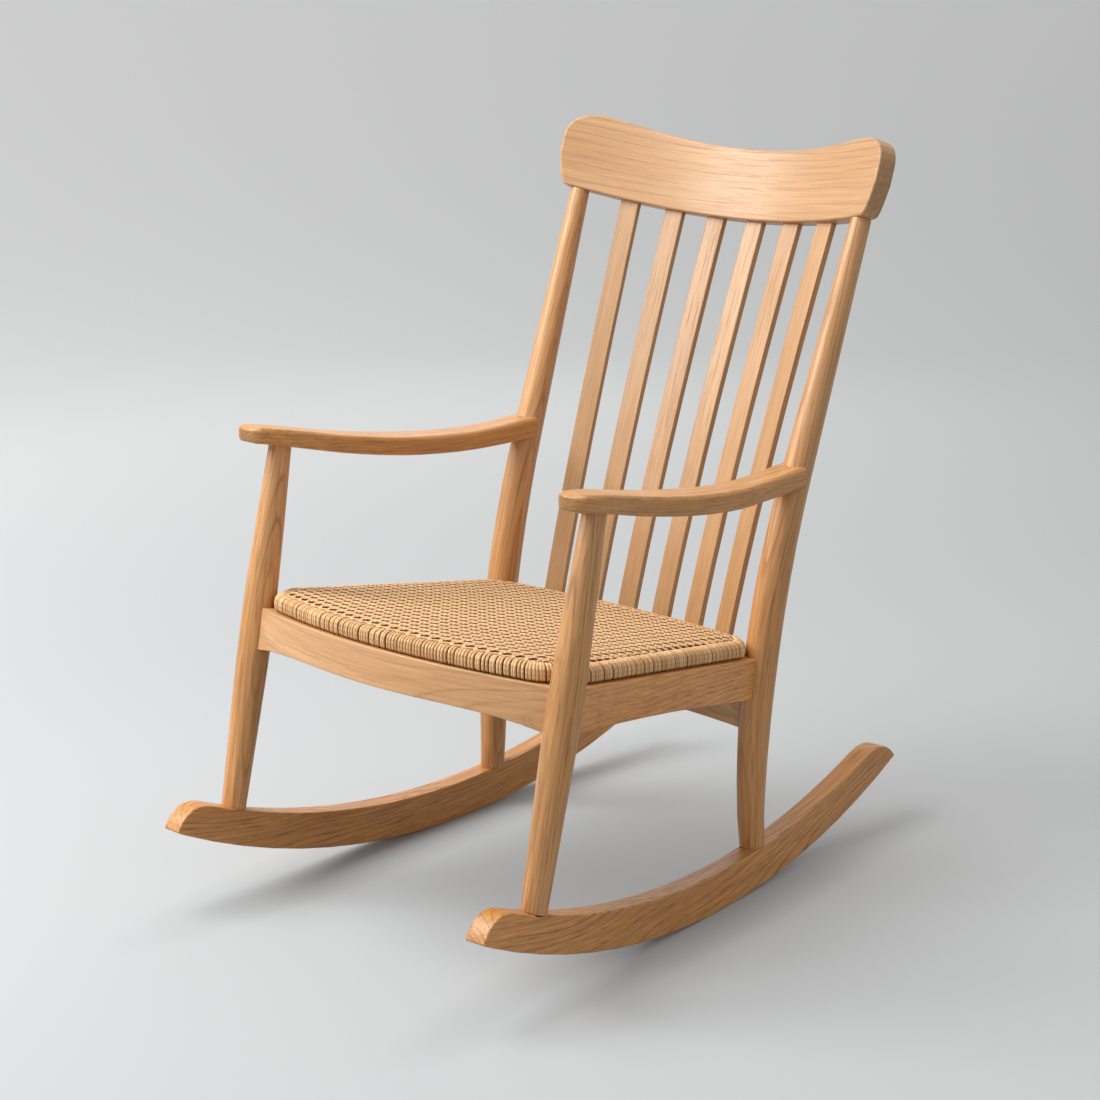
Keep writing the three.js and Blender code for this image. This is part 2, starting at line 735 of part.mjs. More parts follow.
function panelHalf() {
  const fromFront = ({ inset, ahead }) => new THREE.Vector2(frontRailHalf - inset, seatFrontY - ahead);
  const fromLeg = ({ inset, behind }) => new THREE.Vector2(legAtSeat.x - inset, legAtSeat.y + behind);
  const fromPost = ({ inset, ahead }) => new THREE.Vector2(postAtSeat.x - inset, postAtSeat.y - ahead);
  const frontEnd = fromFront(panelFrontEnd);
  const legStart = fromLeg(panelLegStart);
  const legEnd = fromLeg(panelLegEnd);
  const rearEnd = fromPost(panelRearEnd);
  const frontMiddle = new THREE.Vector2(0, panelFrontMiddleY);
  const frontBend = new THREE.Vector2(frontEnd.x / 2, panelFrontMiddleY);
  const sideStart = new THREE.Vector2(sideRailX(panelSideStartY) - panelInset, panelSideStartY);
  const sideEnd = new THREE.Vector2(sideRailX(panelSideEndY) - panelInset, panelSideEndY);
  const sideTurn = new THREE.Vector2(sideStart.x, (legEnd.y + panelSideStartY) / 2);
  const rearBend = new THREE.Vector2(rearEnd.x / 2, panelRearMiddleY);
  const rearMiddle = new THREE.Vector2(0, panelRearMiddleY);
  return [
    [new THREE.QuadraticBezierCurve(frontMiddle, frontBend, frontEnd), 8],
    [new THREE.QuadraticBezierCurve(frontEnd, fromFront(panelFrontTurn), legStart), 5],
    [new THREE.LineCurve(legStart, legEnd), 1],
    [new THREE.QuadraticBezierCurve(legEnd, sideTurn, sideStart), 3],
    [new THREE.LineCurve(sideStart, sideEnd), 4],
    [new THREE.QuadraticBezierCurve(sideEnd, fromPost(panelRearTurn), rearEnd), 5],
    [new THREE.QuadraticBezierCurve(rearEnd, rearBend, rearMiddle), 8],
  ];
}

const panelPoints = (() => {
  const right = panelHalf().flatMap(([curve, steps]) => curve.getPoints(steps).slice(1));
  right.unshift(new THREE.Vector2(0, panelFrontMiddleY));
  const left = right.slice(1, -1).reverse().map((point) => new THREE.Vector2(-point.x, point.y));
  return [...right, ...left];
})();

// Draws the outline in towards the middle of the panel.
function panelOutline(inset) {
  const halfWidth = sideRailX(panelSideStartY) - panelInset;
  const halfDepth = (panelRearMiddleY - panelFrontMiddleY) / 2;
  const middleY = (panelRearMiddleY + panelFrontMiddleY) / 2;
  const shareX = 1 - inset / halfWidth;
  const shareY = 1 - inset / halfDepth;
  return panelPoints.map((point) => {
    return new THREE.Vector2(point.x * shareX, middleY + (point.y - middleY) * shareY);
  });
}

function onSeat(point, rise) {
  return new THREE.Vector3(point.x, point.y, seatHeight(point.y) + rise);
}

function panelRing(inset, rise) {
  return panelOutline(inset).map((point) => onSeat(point, rise));
}

function panelSlab(inset, from, to) {
  return solidOf(loft([panelRing(inset, from), panelRing(inset, to)]));
}

function wovenSeat() {
  const edge = panelEdge;
  const top = panelThickness;
  const outer = solidOf(loft([
    panelRing(edge, gap),
    panelRing(edge * edgeRunShare, edge * edgeRiseShare),
    panelRing(0, edge),
    panelRing(0, top - edge),
    panelRing(edge * edgeRunShare, top - edge * edgeRiseShare),
    panelRing(edge, top),
    panelRing(panelCrownRun, top + panelCrown),
  ]));
  const room = panelSlab(skinThickness + skinCorner, skinThickness, top - skinThickness);
  const mouth = panelSlab(skinThickness + skinReturn, -top, top / 2);
  return outer.subtract(room).subtract(mouth);
}

// The slip frame: one ring cut into a front, a rear and two side members.

function slipFrame() {
  const bottom = skinThickness + gap;
  const top = panelThickness - skinThickness - gap;
  const outer = panelSlab(skinThickness + skinCorner + gap, bottom, top);
  const inner = panelSlab(skinThickness + seatFrameWidth, -top, top * 2);
  return outer.subtract(inner);
}

function slipMember(ring, from, to) {
  const middleY = (from + to) / 2;
  const middle = new THREE.Vector3(0, middleY, seatHeight(middleY));
  const directions = [new THREE.Vector3(1, 0, 0), new THREE.Vector3(0, 1, 0), new THREE.Vector3(0, 0, 1)];
  const cutter = block(middle, directions, [frontRailHalf * 3, to - from, frontRailHalf]);
  return ring.intersect(cutter);
}

function slipHalf(solid) {
  return solid.trimByPlane([1, 0, 0], 0);
}

// Corner blocks: glued across each inner corner of the seat rails.

function cornerBlock(corner, alongX, alongY, leg) {
  const points = [
    corner.clone(),
    corner.clone().addScaledVector(alongX, leg),
    corner.clone().addScaledVector(alongY, leg),
  ];
  const rings = [-blockDrop - blockDepth, -blockDrop].map((rise) => {
    return points.map((point) => new THREE.Vector3(point.x, point.y, seatHeight(point.y) + rise));
  });
  return solidOf(loft(rings));
}

function largest(solid) {
  const pieces = solid.decompose();
  return pieces.reduce((best, piece) => (piece.volume() > best.volume() ? piece : best));
}

// Screws: a cone head and a plain shank. The path starts at the head.

function screwSolid(start, direction, length, grow) {
  const end = start.clone().addScaledVector(direction, length + grow);
  const neck = start.clone().addScaledVector(direction, screwHeadHeight);
  const top = start.clone().addScaledVector(direction, -grow * 2);
  const rings = [
    ringAt(top, direction, screwHead / 2 + grow, pinSides),
    ringAt(start, direction, screwHead / 2 + grow, pinSides),
    ringAt(neck, direction, screwShank / 2 + grow, pinSides),
    ringAt(end, direction, screwShank / 2 + grow, pinSides),
  ];
  return solidOf(loft(grow > 0 ? rings : rings.slice(1)));
}

// Assembly

const mirrorX = (solid) => solidOf(mirrored(geometryOf(solid)));
const both = (solid) => solid.add(mirrorX(solid));

const legFootPeg = (grow) => endPeg(legPath, 0, legFootDiameter, legTenonLength, legTenonDiameter, grow);
const postFootPeg = (grow) => {
  return endPeg(postPath, 0, postFootDiameter / 2, postTenonLength, postTenonDiameter, grow);
};
const legHeadPeg = (grow) => endPeg(legPath, 1, legHeadDiameter, armTenonLength, armTenonDiameter, grow);
const postHeadPeg = (grow) => {
  return endPeg(postPath, 1, postHeadDiameter, crestTenonLength, crestTenonDiameter, grow);
};

const wideRocker = rockerSolid(rockerWidth * copeShare, gap);
const wideCrest = crestSolid(crestThickness * copeShare, gap);

const leftLeg = legBody(0)
  .subtract(wideRocker)
  .subtract(armSolid(gap))
  .add(legFootPeg(0))
  .add(legHeadPeg(0))
  .subtract(frontTongue(gap))
  .subtract(sideFrontTongue(gap));

const leftPost = postBody(0)
  .subtract(wideRocker)
  .subtract(wideCrest)
  .add(postFootPeg(0))
  .add(postHeadPeg(0))
  .subtract(sideRearTongue(gap))
  .subtract(rearTongue(gap))
  .subtract(armDowel(gap));

const leftRocker = rockerSolid(rockerWidth, 0)
  .subtract(legFootPeg(gap))
  .subtract(postFootPeg(gap));

const leftArm = armSolid(0)
  .subtract(legHeadPeg(gap))
  .subtract(postBody(gap))
  .subtract(armDowel(gap));

const bothLegs = both(legBody(gap));
const bothPosts = both(postBody(gap));

const slatIndexes = Array.from({ length: slatPairs }, (_, index) => index);
const slats = slatIndexes.map((index) => slatSolid(index, 0));
const slatSockets = slatIndexes
  .map((index) => both(slatSolid(index, gap)))
  .reduce((sum, solid) => sum.add(solid));

const crest = crestSolid(crestThickness, 0)
  .subtract(both(postHeadPeg(gap)))
  .subtract(slatSockets);

const frontRail = frontRailSolid(0)
  .subtract(bothLegs)
  .add(both(frontTongue(0)));

const rearRail = rearRailSolid(0)
  .subtract(bothPosts)
  .add(both(rearTongue(0)))
  .subtract(slatSockets);

const leftSideRail = sideRailSolid(0)
  .subtract(legBody(gap))
  .subtract(postBody(gap))
  .subtract(frontRailSolid(gap))
  .add(sideFrontTongue(0))
  .add(sideRearTongue(0));

const seatRing = slipFrame();
const farY = rockerFrontReach;
const seatFrameFrontY = seatFrontY + seatFrameFrontBehind;
const seatFrameRearY = postAtSeat.y - seatFrameRearAhead;
const frontMember = slipMember(seatRing, -farY, seatFrameFrontY - gap / 2);
const rearMember = slipMember(seatRing, seatFrameRearY + gap / 2, farY);
const sideMembers = slipMember(seatRing, seatFrameFrontY + gap / 2, seatFrameRearY - gap / 2);
const leftMember = largest(slipHalf(sideMembers));

const inward = new THREE.Vector3(-1, 0, 0);
const forward = sideRailAlong.clone().negate();
const frontCorner = new THREE.Vector3(frontRailHalf, seatFrontY, 0);
const rearCorner = sideRailPoint(sideRailRear.y + legSeatDiameter / 2).setZ(0);
const blockCutters = frontRailSolid(gap)
  .add(rearRailSolid(gap))
  .add(sideRailSolid(gap))
  .add(legBody(gap))
  .add(postBody(gap))
  .add(frontTongue(gap))
  .add(rearTongue(gap));
const frontTriangle = cornerBlock(frontCorner, inward, sideRailAlong, frontBlockLeg);
const rearTriangle = cornerBlock(rearCorner, inward, forward, rearBlockLeg);
const frontBlock = largest(frontTriangle.subtract(blockCutters));
const rearBlock = largest(rearTriangle.subtract(blockCutters));

const seatUp = new THREE.Vector3(0, seatFallShare, 1).normalize();

function seatScrew(corner, alongY, inset, grow) {
  const point = corner.clone().addScaledVector(inward, inset.x).addScaledVector(alongY, inset.y);
  point.z = seatHeight(point.y) - blockDrop - blockDepth;
  return screwSolid(point, seatUp, seatScrewLength, grow);
}

const frontScrew = (grow) => seatScrew(frontCorner, sideRailAlong, frontScrewInset, grow);
const rearScrew = (grow) => seatScrew(rearCorner, forward, rearScrewInset, grow);
const screwRoom = both(frontScrew(gap).add(rearScrew(gap)));

const parts = [
  ["left_rocker", leftRocker, oak.leg, true],
  ["left_front_leg", leftLeg, oak.leg, true],
  ["left_back_post", leftPost, oak.leg, true],
  ["left_arm", leftArm, oak.board, true],
  ["left_side_rail", leftSideRail, oak.rail, true],
  ["front_rail", frontRail, oak.rail, false],
  ["rear_rail", rearRail, oak.rail, false],
  ["crest_rail", crest, oak.board, false],
  ["left_arm_dowel", armDowel(0), oak.hidden, true],
  ["seat_frame_front", frontMember.subtract(screwRoom), oak.hidden, false],
  ["seat_frame_rear", rearMember.subtract(screwRoom), oak.hidden, false],
  ["left_seat_frame_side", leftMember.subtract(screwRoom), oak.hidden, true],
  ["left_front_corner_block", frontBlock.subtract(frontScrew(gap)), oak.hidden, true],
  ["left_rear_corner_block", rearBlock.subtract(rearScrew(gap)), oak.hidden, true],
  ["left_front_seat_screw", frontScrew(0), oak.steel, true],
  ["left_rear_seat_screw", rearScrew(0), oak.steel, true],
];

const chair = new THREE.Group();

function addPart(name, geometry, color, roughness) {
  const mesh = new THREE.Mesh(geometry, new THREE.MeshStandardMaterial({ color, roughness }));
  mesh.name = name;
  chair.add(mesh);
}

for (const [name, solid, color, paired] of parts) {
  const geometry = geometryOf(solid);
  addPart(name, geometry, color, woodRoughness);
  if (paired) {
    addPart(name.replace("left", "right"), mirrored(geometry), color, woodRoughness);
  }
}

slats.forEach((slat, index) => {
  const geometry = geometryOf(slat);
  addPart(`back_slat_${slats.length + index + 1}`, geometry, oak.leg, woodRoughness);
  addPart(`back_slat_${slats.length - index}`, mirrored(geometry), oak.leg, woodRoughness);
});

addPart("woven_seat", geometryOf(wovenSeat()), oak.weave, weaveRoughness);

const box = new THREE.Box3().setFromObject(chair);
chair.position.set(0, -(box.min.y + box.max.y) / 2, -box.min.z);
chair.updateMatrixWorld(true);

export default chair;
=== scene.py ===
"""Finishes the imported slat-back rocking chair: light oak members and a seat woven of paper cord.

Metres, +Z up. The chair faces -Y, and the sitter's left is +X. The wood keeps the CAD shapes
with its edges eased, and the seat's closed solid gives way to real cords.
"""
import json
import math
import random

import bmesh
import bpy
import numpy as np
from mathutils import Matrix, Vector
from mathutils.bvhtree import BVHTree

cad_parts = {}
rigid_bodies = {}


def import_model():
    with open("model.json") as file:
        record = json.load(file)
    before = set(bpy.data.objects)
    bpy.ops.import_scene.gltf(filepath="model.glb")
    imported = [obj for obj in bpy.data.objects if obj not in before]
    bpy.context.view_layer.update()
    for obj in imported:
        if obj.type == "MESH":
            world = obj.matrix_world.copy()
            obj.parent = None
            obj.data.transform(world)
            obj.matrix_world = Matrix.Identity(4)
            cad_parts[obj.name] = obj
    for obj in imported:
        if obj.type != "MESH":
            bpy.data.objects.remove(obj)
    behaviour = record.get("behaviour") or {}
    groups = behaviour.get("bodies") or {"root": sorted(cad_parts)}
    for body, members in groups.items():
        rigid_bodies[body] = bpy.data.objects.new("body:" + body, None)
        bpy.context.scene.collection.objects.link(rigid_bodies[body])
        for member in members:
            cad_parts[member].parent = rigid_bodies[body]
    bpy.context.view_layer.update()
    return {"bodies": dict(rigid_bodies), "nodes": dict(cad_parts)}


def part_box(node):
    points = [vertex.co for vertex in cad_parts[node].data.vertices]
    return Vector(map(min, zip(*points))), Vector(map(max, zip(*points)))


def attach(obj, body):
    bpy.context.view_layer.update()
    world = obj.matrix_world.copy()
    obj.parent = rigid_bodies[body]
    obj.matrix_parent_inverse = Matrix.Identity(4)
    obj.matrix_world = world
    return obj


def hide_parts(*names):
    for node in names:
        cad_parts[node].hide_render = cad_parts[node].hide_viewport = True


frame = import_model()

NODES = frame["nodes"]
BODY = next(iter(frame["bodies"]))
SCENE = bpy.context.scene
SEED = 7
MM = 0.001

# Camera, as the photograph was taken
CAMERA_EYE = Vector((2.1664, -2.5068, 1.3704))
CAMERA_AIM = Vector((0.0, -0.0218, 0.4707))
CAMERA_LENS = 81.82
CAMERA_SENSOR = 36.0

# Floor: its glow is painted light, stronger far off on the picture's left, and left out under the
# rockers as a painted contact shadow
FLOOR_RADIUS = 40.0
FLOOR_SIDES = 64
FLOOR_COLOUR = (0.363, 0.380, 0.394)
FLOOR_ROUGHNESS = 0.9
FLOOR_SHINE = 0.1
GLOW_COLOUR = (1.0, 1.0, 1.0)
NEAR_GLOW = 0.185
# Painted light on the far floor: it grows with distance and is stronger towards the picture's left
FAR_PAINTED_LIGHT = 0.128
FAR_PAINTED_LIGHT_START = 1.0
FAR_PAINTED_LIGHT_END = 3.2
PAINTED_LIGHT_SLANT = 1.8
VIEW_RIGHT = (0.755, 0.656, 0.0)
# Painted contact shadow under the rockers: where it lies, how it stretches and how far it reaches
CONTACT_SHADOW_X = 0.252
CONTACT_SHADOW_STRETCH = 0.16
CONTACT_SHADOW_REACH = 0.10

# Lamps and world
WORLD_COLOUR = (1.0, 0.97, 0.93)
WORLD_STRENGTH = 0.62
BACKDROP_COLOUR = (0.62, 0.62, 0.62)
LAMP_COLOUR = (1.0, 0.995, 0.985)
LAMP_AIM = Vector((0.0, 0.0, 0.45))
KEY_PLACE = Vector((-1.0, -1.1, 3.2))
KEY_SIZE = 1.8
KEY_POWER = 62.0
FRONT_PLACE = Vector((-1.8, -1.7, 2.15))
FRONT_SIZE = 1.5
FRONT_POWER = 58.0
BACK_PLACE = Vector((-2.3, 2.6, 1.5))
BACK_SIZE = 2.0
BACK_POWER = 6.0

# Easing of the wooden edges
WELD = 0.02 * MM
FLAT_ANGLE = math.radians(0.25)
EDGE_ANGLE = math.radians(38)
SMOOTH_ANGLE = math.radians(33)
TOUCH = 1.2 * MM
SOCKET_WIDTH = 40 * MM
SOCKET_STEP = 0.1 * MM
SOCKET_INSET = 5 * SOCKET_STEP
EASE_STEPS = 3
EASE_PROFILE = 0.5
EASE = {
    "rocker": 2.4 * MM,
    "side_rail": 2.0 * MM,
    "front_rail": 1.6 * MM,
    "rear_rail": 2.0 * MM,
    "crest_rail": 3.2 * MM,
    "back_slat": 1.6 * MM,
    "arm": 2.4 * MM,
}

# Oak colours
OAK_LIGHT = (0.700, 0.375, 0.148)
OAK_MIDDLE = (0.610, 0.300, 0.102)
OAK_LINE = (0.270, 0.098, 0.024)
OAK_PORE = (0.230, 0.082, 0.020)
# Painted light: the posts and legs turn paler above the seat, where more light falls on them
POST_PAINTED_TOP_LIGHT = (1.0, 1.08, 1.32)
LEG_PAINTED_TOP_LIGHT = (1.03, 1.09, 1.28)
PAINTED_TOP_LIGHT_START = 390 * MM
PAINTED_TOP_LIGHT_END = 560 * MM
END_SHADE = 0.67
END_GRAIN = (0.55, 0.95)
TONE_SPREAD = (0.975, 1.02)
SEED_REACH = 3
SIDE_TONES = {"left": (0.88, 0.92), "right": (1.02, 0.95)}

# Noise of every material: the middle of its colour, its octaves and how strong each one is
NOISE_MIDDLE = (0.5, 0.5, 0.5)
NOISE_DETAIL = 3.0
NOISE_GAIN = 0.6

# Oak figure: noise scales across and along the grain, per metre
SLOW_SCALE = (7.0, 7.0, 2.1)
SLOW_REACH = (0.05, 0.05, 0.0)
SLOW_DETAIL = 1.5
FINE_SCALE = (50.0, 50.0, 8.0)
FINE_REACH = (0.0018, 0.0018, 0.0)
ACROSS_GRAIN = (1.0, 1.0, 0.0)
CHOICE_SCALE = (9.0, 9.0, 3.0)
TONE_SCALE = (16.0, 16.0, 2.6)
STREAK_SCALE = (150.0, 150.0, 5.0)
FIBRE_SCALE = (620.0, 620.0, 8.0)
PORE_SCALE = (430.0, 430.0, 13.0)
RING_STRIDE = 0.83
RING_STOPS = [(0.0, 0.25), (0.12, 0.0), (0.7, 0.05), (0.86, 1.0), (0.94, 1.0), (1.0, 0.25)]
EARLY_STOPS = [(0.0, 1.0), (0.45, 0.55), (0.75, 0.55), (1.0, 1.0)]

# Oak figure: each span is the low and high of what comes in, then what they turn into
RING_SPAN = (0.34, 0.66, 0.12, 1.0)
CHOICE_SPAN = (0.3, 0.7, 0.5, 1.0)
PORE_SPAN = (0.54, 0.64, 0.0, 1.0)
TONE_SPAN = (0.3, 0.72, 0.0, 1.0)
FIBRE_SPAN = (0.3, 0.7, 0.90, 1.06)
STREAK_RANGE = (0.28, 0.72)
STREAK_TOP = 1.08
STREAK_BY_CONTRAST = (0.5, 1.3, 0.92, 0.74)
PORE_BY_CONTRAST = (0.5, 1.3, 0.08, 0.55)
LINE_SHARE = 0.62
OAK_ROUGHNESS = 0.28
FIBRE_ROUGHNESS = 0.16
PORE_ROUGHNESS = 0.18
FIBRE_HEIGHT = 0.35
PORE_HEIGHT = 0.8
LINE_HEIGHT = 0.25
OAK_BUMP = 0.5
OAK_BUMP_DEPTH = 0.25 * MM

# Bends and slopes of the members, taken out of their grain
REAR_RAIL_DEPTH = 42 * MM
FRONT_RAIL_BOW = 49.4 * MM
CREST_BOW = 86 * MM
CREST_SAG = 30 * MM
BACK_LEAN = 0.365
POST_LEAN = 0.3725
POST_KNEE = 342.5 * MM
POST_FRONT = 20 * MM
KNEE_BLEND = 232 * MM
LEG_RAKE = 0.2
LEG_SPLAY = 0.006
ROCKER_TILT = 0.06
ARM_FALL = 0.0985
SEAT_FALL = 0.1658
SLATS = 6
SLAT_WIDTH = 30 * MM
SLAT_TONE = 0.77
# Painted light: each slat a little lighter towards the sitter's left
SLAT_LIGHT_DRIFT = 0.6
SLAT_PITH = 0.06
SLAT_PITH_STEP = 0.01
SLAT_PITH_DEPTH = 0.04

# Oak of each member. The pith is the middle of the tree: metres across the face, and behind it.
# Besides each board's own colour, the colour factors are painted light: the pale, bluish ones of
# the crest rail, front rail and slats paint the sheen on faces turned to the lamps, and the deep,
# warm ones of the rockers and side rails paint the warm shade on their sides.
MEMBERS = {
    "rocker": {
        "pith": (0.12, 0.07), "waviness": 1.6, "contrast": 1.45, "spacing": 6.5 * MM,
        "tone_and_painted_light": (1.0, 0.88, 0.68), "end_shade": 1.0, "roll": 0.30,
    },
    "side_rail": {
        "pith": (0.07, 0.05), "waviness": 0.55, "contrast": 1.2, "spacing": 5.2 * MM,
        "tone_and_painted_light": (1.02, 0.90, 0.74), "tone": 1.14,
    },
    "arm": {
        "pith": (0.05, 0.12), "waviness": 0.6, "contrast": 1.1, "tone_and_painted_light": (1.0, 0.94, 0.82),
        "roll": 0.296,
    },
    "front_leg": {
        "pith": (0.10, 0.06), "waviness": 0.7, "contrast": 1.3, "tone_and_painted_light": (1.04, 1.0, 0.96),
        "painted_top_light": LEG_PAINTED_TOP_LIGHT,
    },
    "back_post": {
        "pith": (0.10, 0.06), "waviness": 0.7, "contrast": 1.15, "tone_and_painted_light": (1.03, 0.975, 0.91),
        "painted_top_light": POST_PAINTED_TOP_LIGHT, "tone": 0.95, "lean": POST_LEAN, "knee": POST_KNEE,
    },
    "front_rail": {
        "pith": (0.06, 0.08), "waviness": 0.8, "contrast": 0.8, "tone_and_painted_light": (0.96, 1.03, 1.28),
    },
    "rear_rail": {"pith": (0.03, 0.09)},
    "crest_rail": {
        "pith": (0.09, 0.06), "waviness": 0.9, "contrast": 0.65, "spacing": 11 * MM,
        "tone_and_painted_light": (0.94, 1.045, 1.37), "tone": 0.92,
    },
    "back_slat": {"waviness": 0.7, "contrast": 0.65, "tone_and_painted_light": (0.985, 1.045, 1.18)},
    "hidden": {"pith": (0.05, 0.06), "contrast": 0.8, "tone": 0.88},
}
HIDDEN = ("seat_frame", "block", "dowel")

# Steel of the screws
STEEL_LIGHT = (0.62, 0.62, 0.60)
STEEL_DULL = (0.42, 0.42, 0.40)
SCRATCH_SCALE = (900.0, 900.0, 4000.0)
STAIN_SCALE = (120.0, 120.0, 120.0)
STAIN_SPAN = (0.35, 0.7, 0.0, 1.0)
STEEL_ROUGHNESS_SPAN = (0.3, 0.7, 0.28, 0.5)
STEEL_BUMP = 0.3
STEEL_BUMP_DEPTH = 0.05 * MM

# Seat: heights above the seat plane, the height and place of the plane at the front, and the
# line across the chair that the plan is measured from, in millimetres
PANEL_RISE = 25 * MM
PANEL_CROWN = 3 * MM
PANEL_EDGE = 8 * MM
CROWN_RUN = 40 * MM
SEAT_LINE = 30.46
SEAT_FRONT_HEIGHT = 404.2 * MM
SEAT_FRONT_Y = (SEAT_LINE - 348) * MM

# Half the seat's edge in plan, in millimetres: control point and end of each bend, from the front
PANEL_FRONT = (0, SEAT_LINE - 391.5)
PANEL_TURNS = [
    ((113, SEAT_LINE - 391.5), (226, SEAT_LINE - 353.5)),
    ((239, SEAT_LINE - 348), (249, SEAT_LINE - 330)),
    ((256.5, SEAT_LINE - 317), (264, SEAT_LINE - 304)),
    ((270.9, SEAT_LINE - 293.5), (270.9, SEAT_LINE - 283)),
    ((256.9, SEAT_LINE - 109.5), (242.9, SEAT_LINE + 64)),
    ((236, SEAT_LINE + 92), (208, SEAT_LINE + 107.5)),
    ((104, SEAT_LINE + 130), (0, SEAT_LINE + 130)),
]
TURN_STEPS = 24
OUTLINE_STEPS = 700
NORMAL_REACH = 3
POINTS_AT_ONCE = 2000

# Weave: rows run from side to side and columns from front to back, each a pair of flat cords
CORD_SIDES = 8
CORD_RADIUS = 3.0 * MM
CORD_SPREAD = (0.95, 1.04)
CORD_FLATNESS = 0.33
ROW_PITCH = 18.5 * MM
COLUMN_PITCH = 17.3 * MM
PAIR_HALF = 3.0 * MM
PAIR_PINCH = 0.35 * MM
WEAVE_RISE = 0.5 * MM
WEAVE_STEP = 1.5 * MM
SHORTEST_CORD = 6
BORDER_INSET = 15 * MM
TUCK_RUN = 6 * MM
TUCK_DROP = 3.5 * MM
PANEL_HALF = 270 * MM
FRONT_BOW = 53 * MM
REAR_BOW = 31 * MM

# Border: wraps in pairs round the edge, with a gap between the pairs
WRAP_RADIUS = 2.3 * MM
WRAP_SPREAD = (0.94, 1.05)
WRAP_FLATNESS = 0.80
WRAP_PITCH = 4.2 * MM
WRAP_GROUP = 2
WRAP_GROUP_GAP = 1.5 * MM
WRAP_SLIP = 0.6 * MM
WRAP_STRAY = 0.25
WRAP_LIFT = (-0.3, 0.25)
# Painted shadow along the bottom of the border: the wraps darken below this height
WRAP_SHADOW_TOP = 6 * MM
WRAP_SHADOW_RUN = 4 * MM
WRAP_STEPS = 22
WRAP_ROUNDINGS = 2

# A wrap in section in millimetres: inset from the edge, height above the seat plane
WRAP_KNOTS = [
    (22, 4), (18, 1.5), (6, 1.5), (3.2, 1.7), (2.0, 4.0), (2.0, 16), (4.0, 20.2), (9, 22.8),
    (15, 23.4), (18, 22), (19.5, 18),
]

# Lining under the weave, with a skirt inside the border, near black as painted shade in the holes
# and under the border: inset and height in millimetres
LINING_DROP = 7.5 * MM
LINING_SHARE = 0.965
LINING_RINGS = 14
LINING_CENTRE = 0.02
LINING_SKIRT = [(12, 0.5), (5.0, 0.5), (5.0, 15)]
SHADE_LINING_DARK = (0.055, 0.027, 0.011)
SHADE_LINING_LIGHT = (0.095, 0.050, 0.022)
THREAD_SCALE = (900.0, 300.0, 600.0)
LINING_ROUGHNESS_SPAN = (0.3, 0.7, 0.8, 0.95)
LINING_BUMP = 0.5
LINING_BUMP_DEPTH = 0.3 * MM

# Cord colours
CORD_LIGHT = (0.790, 0.505, 0.258)
CORD_DARK = (0.680, 0.400, 0.187)
WRAP_LIGHT = (0.870, 0.555, 0.285)
WRAP_DARK = (0.640, 0.350, 0.145)
# Painted shade: the cords darken towards this colour round each hole and on their flanks
PAINTED_SHADE_COLOUR = (0.120, 0.056, 0.022)
HOLE_SHADE_START = 0.19
HOLE_SHADE_END = 0.38
# Painted shade where a cord lies low below the face of the seat
DEPTH_START = 1.4 * MM
DEPTH_END = 3.6 * MM
DEPTH_SHADE = 0.35
# Painted shade on the flanks of the cords, where each meets its neighbour
CORD_FLANK_SHADE = 0.82
WRAP_FLANK_SHADE = 0.36
FLANK_START = 0.6
TWIST_LENGTH = 6 * MM
BLOTCH_SCALE = (45.0, 45.0, 45.0)
GRIT_SCALE = (1400.0, 1400.0, 1400.0)
SHADE_SHARE = 0.55
BLOTCH_SHARE = 0.45
SHADE_SPAN = (0.2, 0.8, 0.0, 1.0)
TWIST_SPAN = (-1.0, 0.2, 0.84, 1.03)
GRIT_SPAN = (0.3, 0.7, 0.93, 1.05)
CORD_ROUGHNESS_SPAN = (0.3, 0.7, 0.62, 0.8)
WAVE_HEIGHT = 0.5
GRIT_HEIGHT = 0.3
CORD_BUMP = 0.6
CORD_BUMP_DEPTH = 0.3 * MM

X = Vector((1, 0, 0))
Y = Vector((0, 1, 0))
Z = Vector((0, 0, 1))


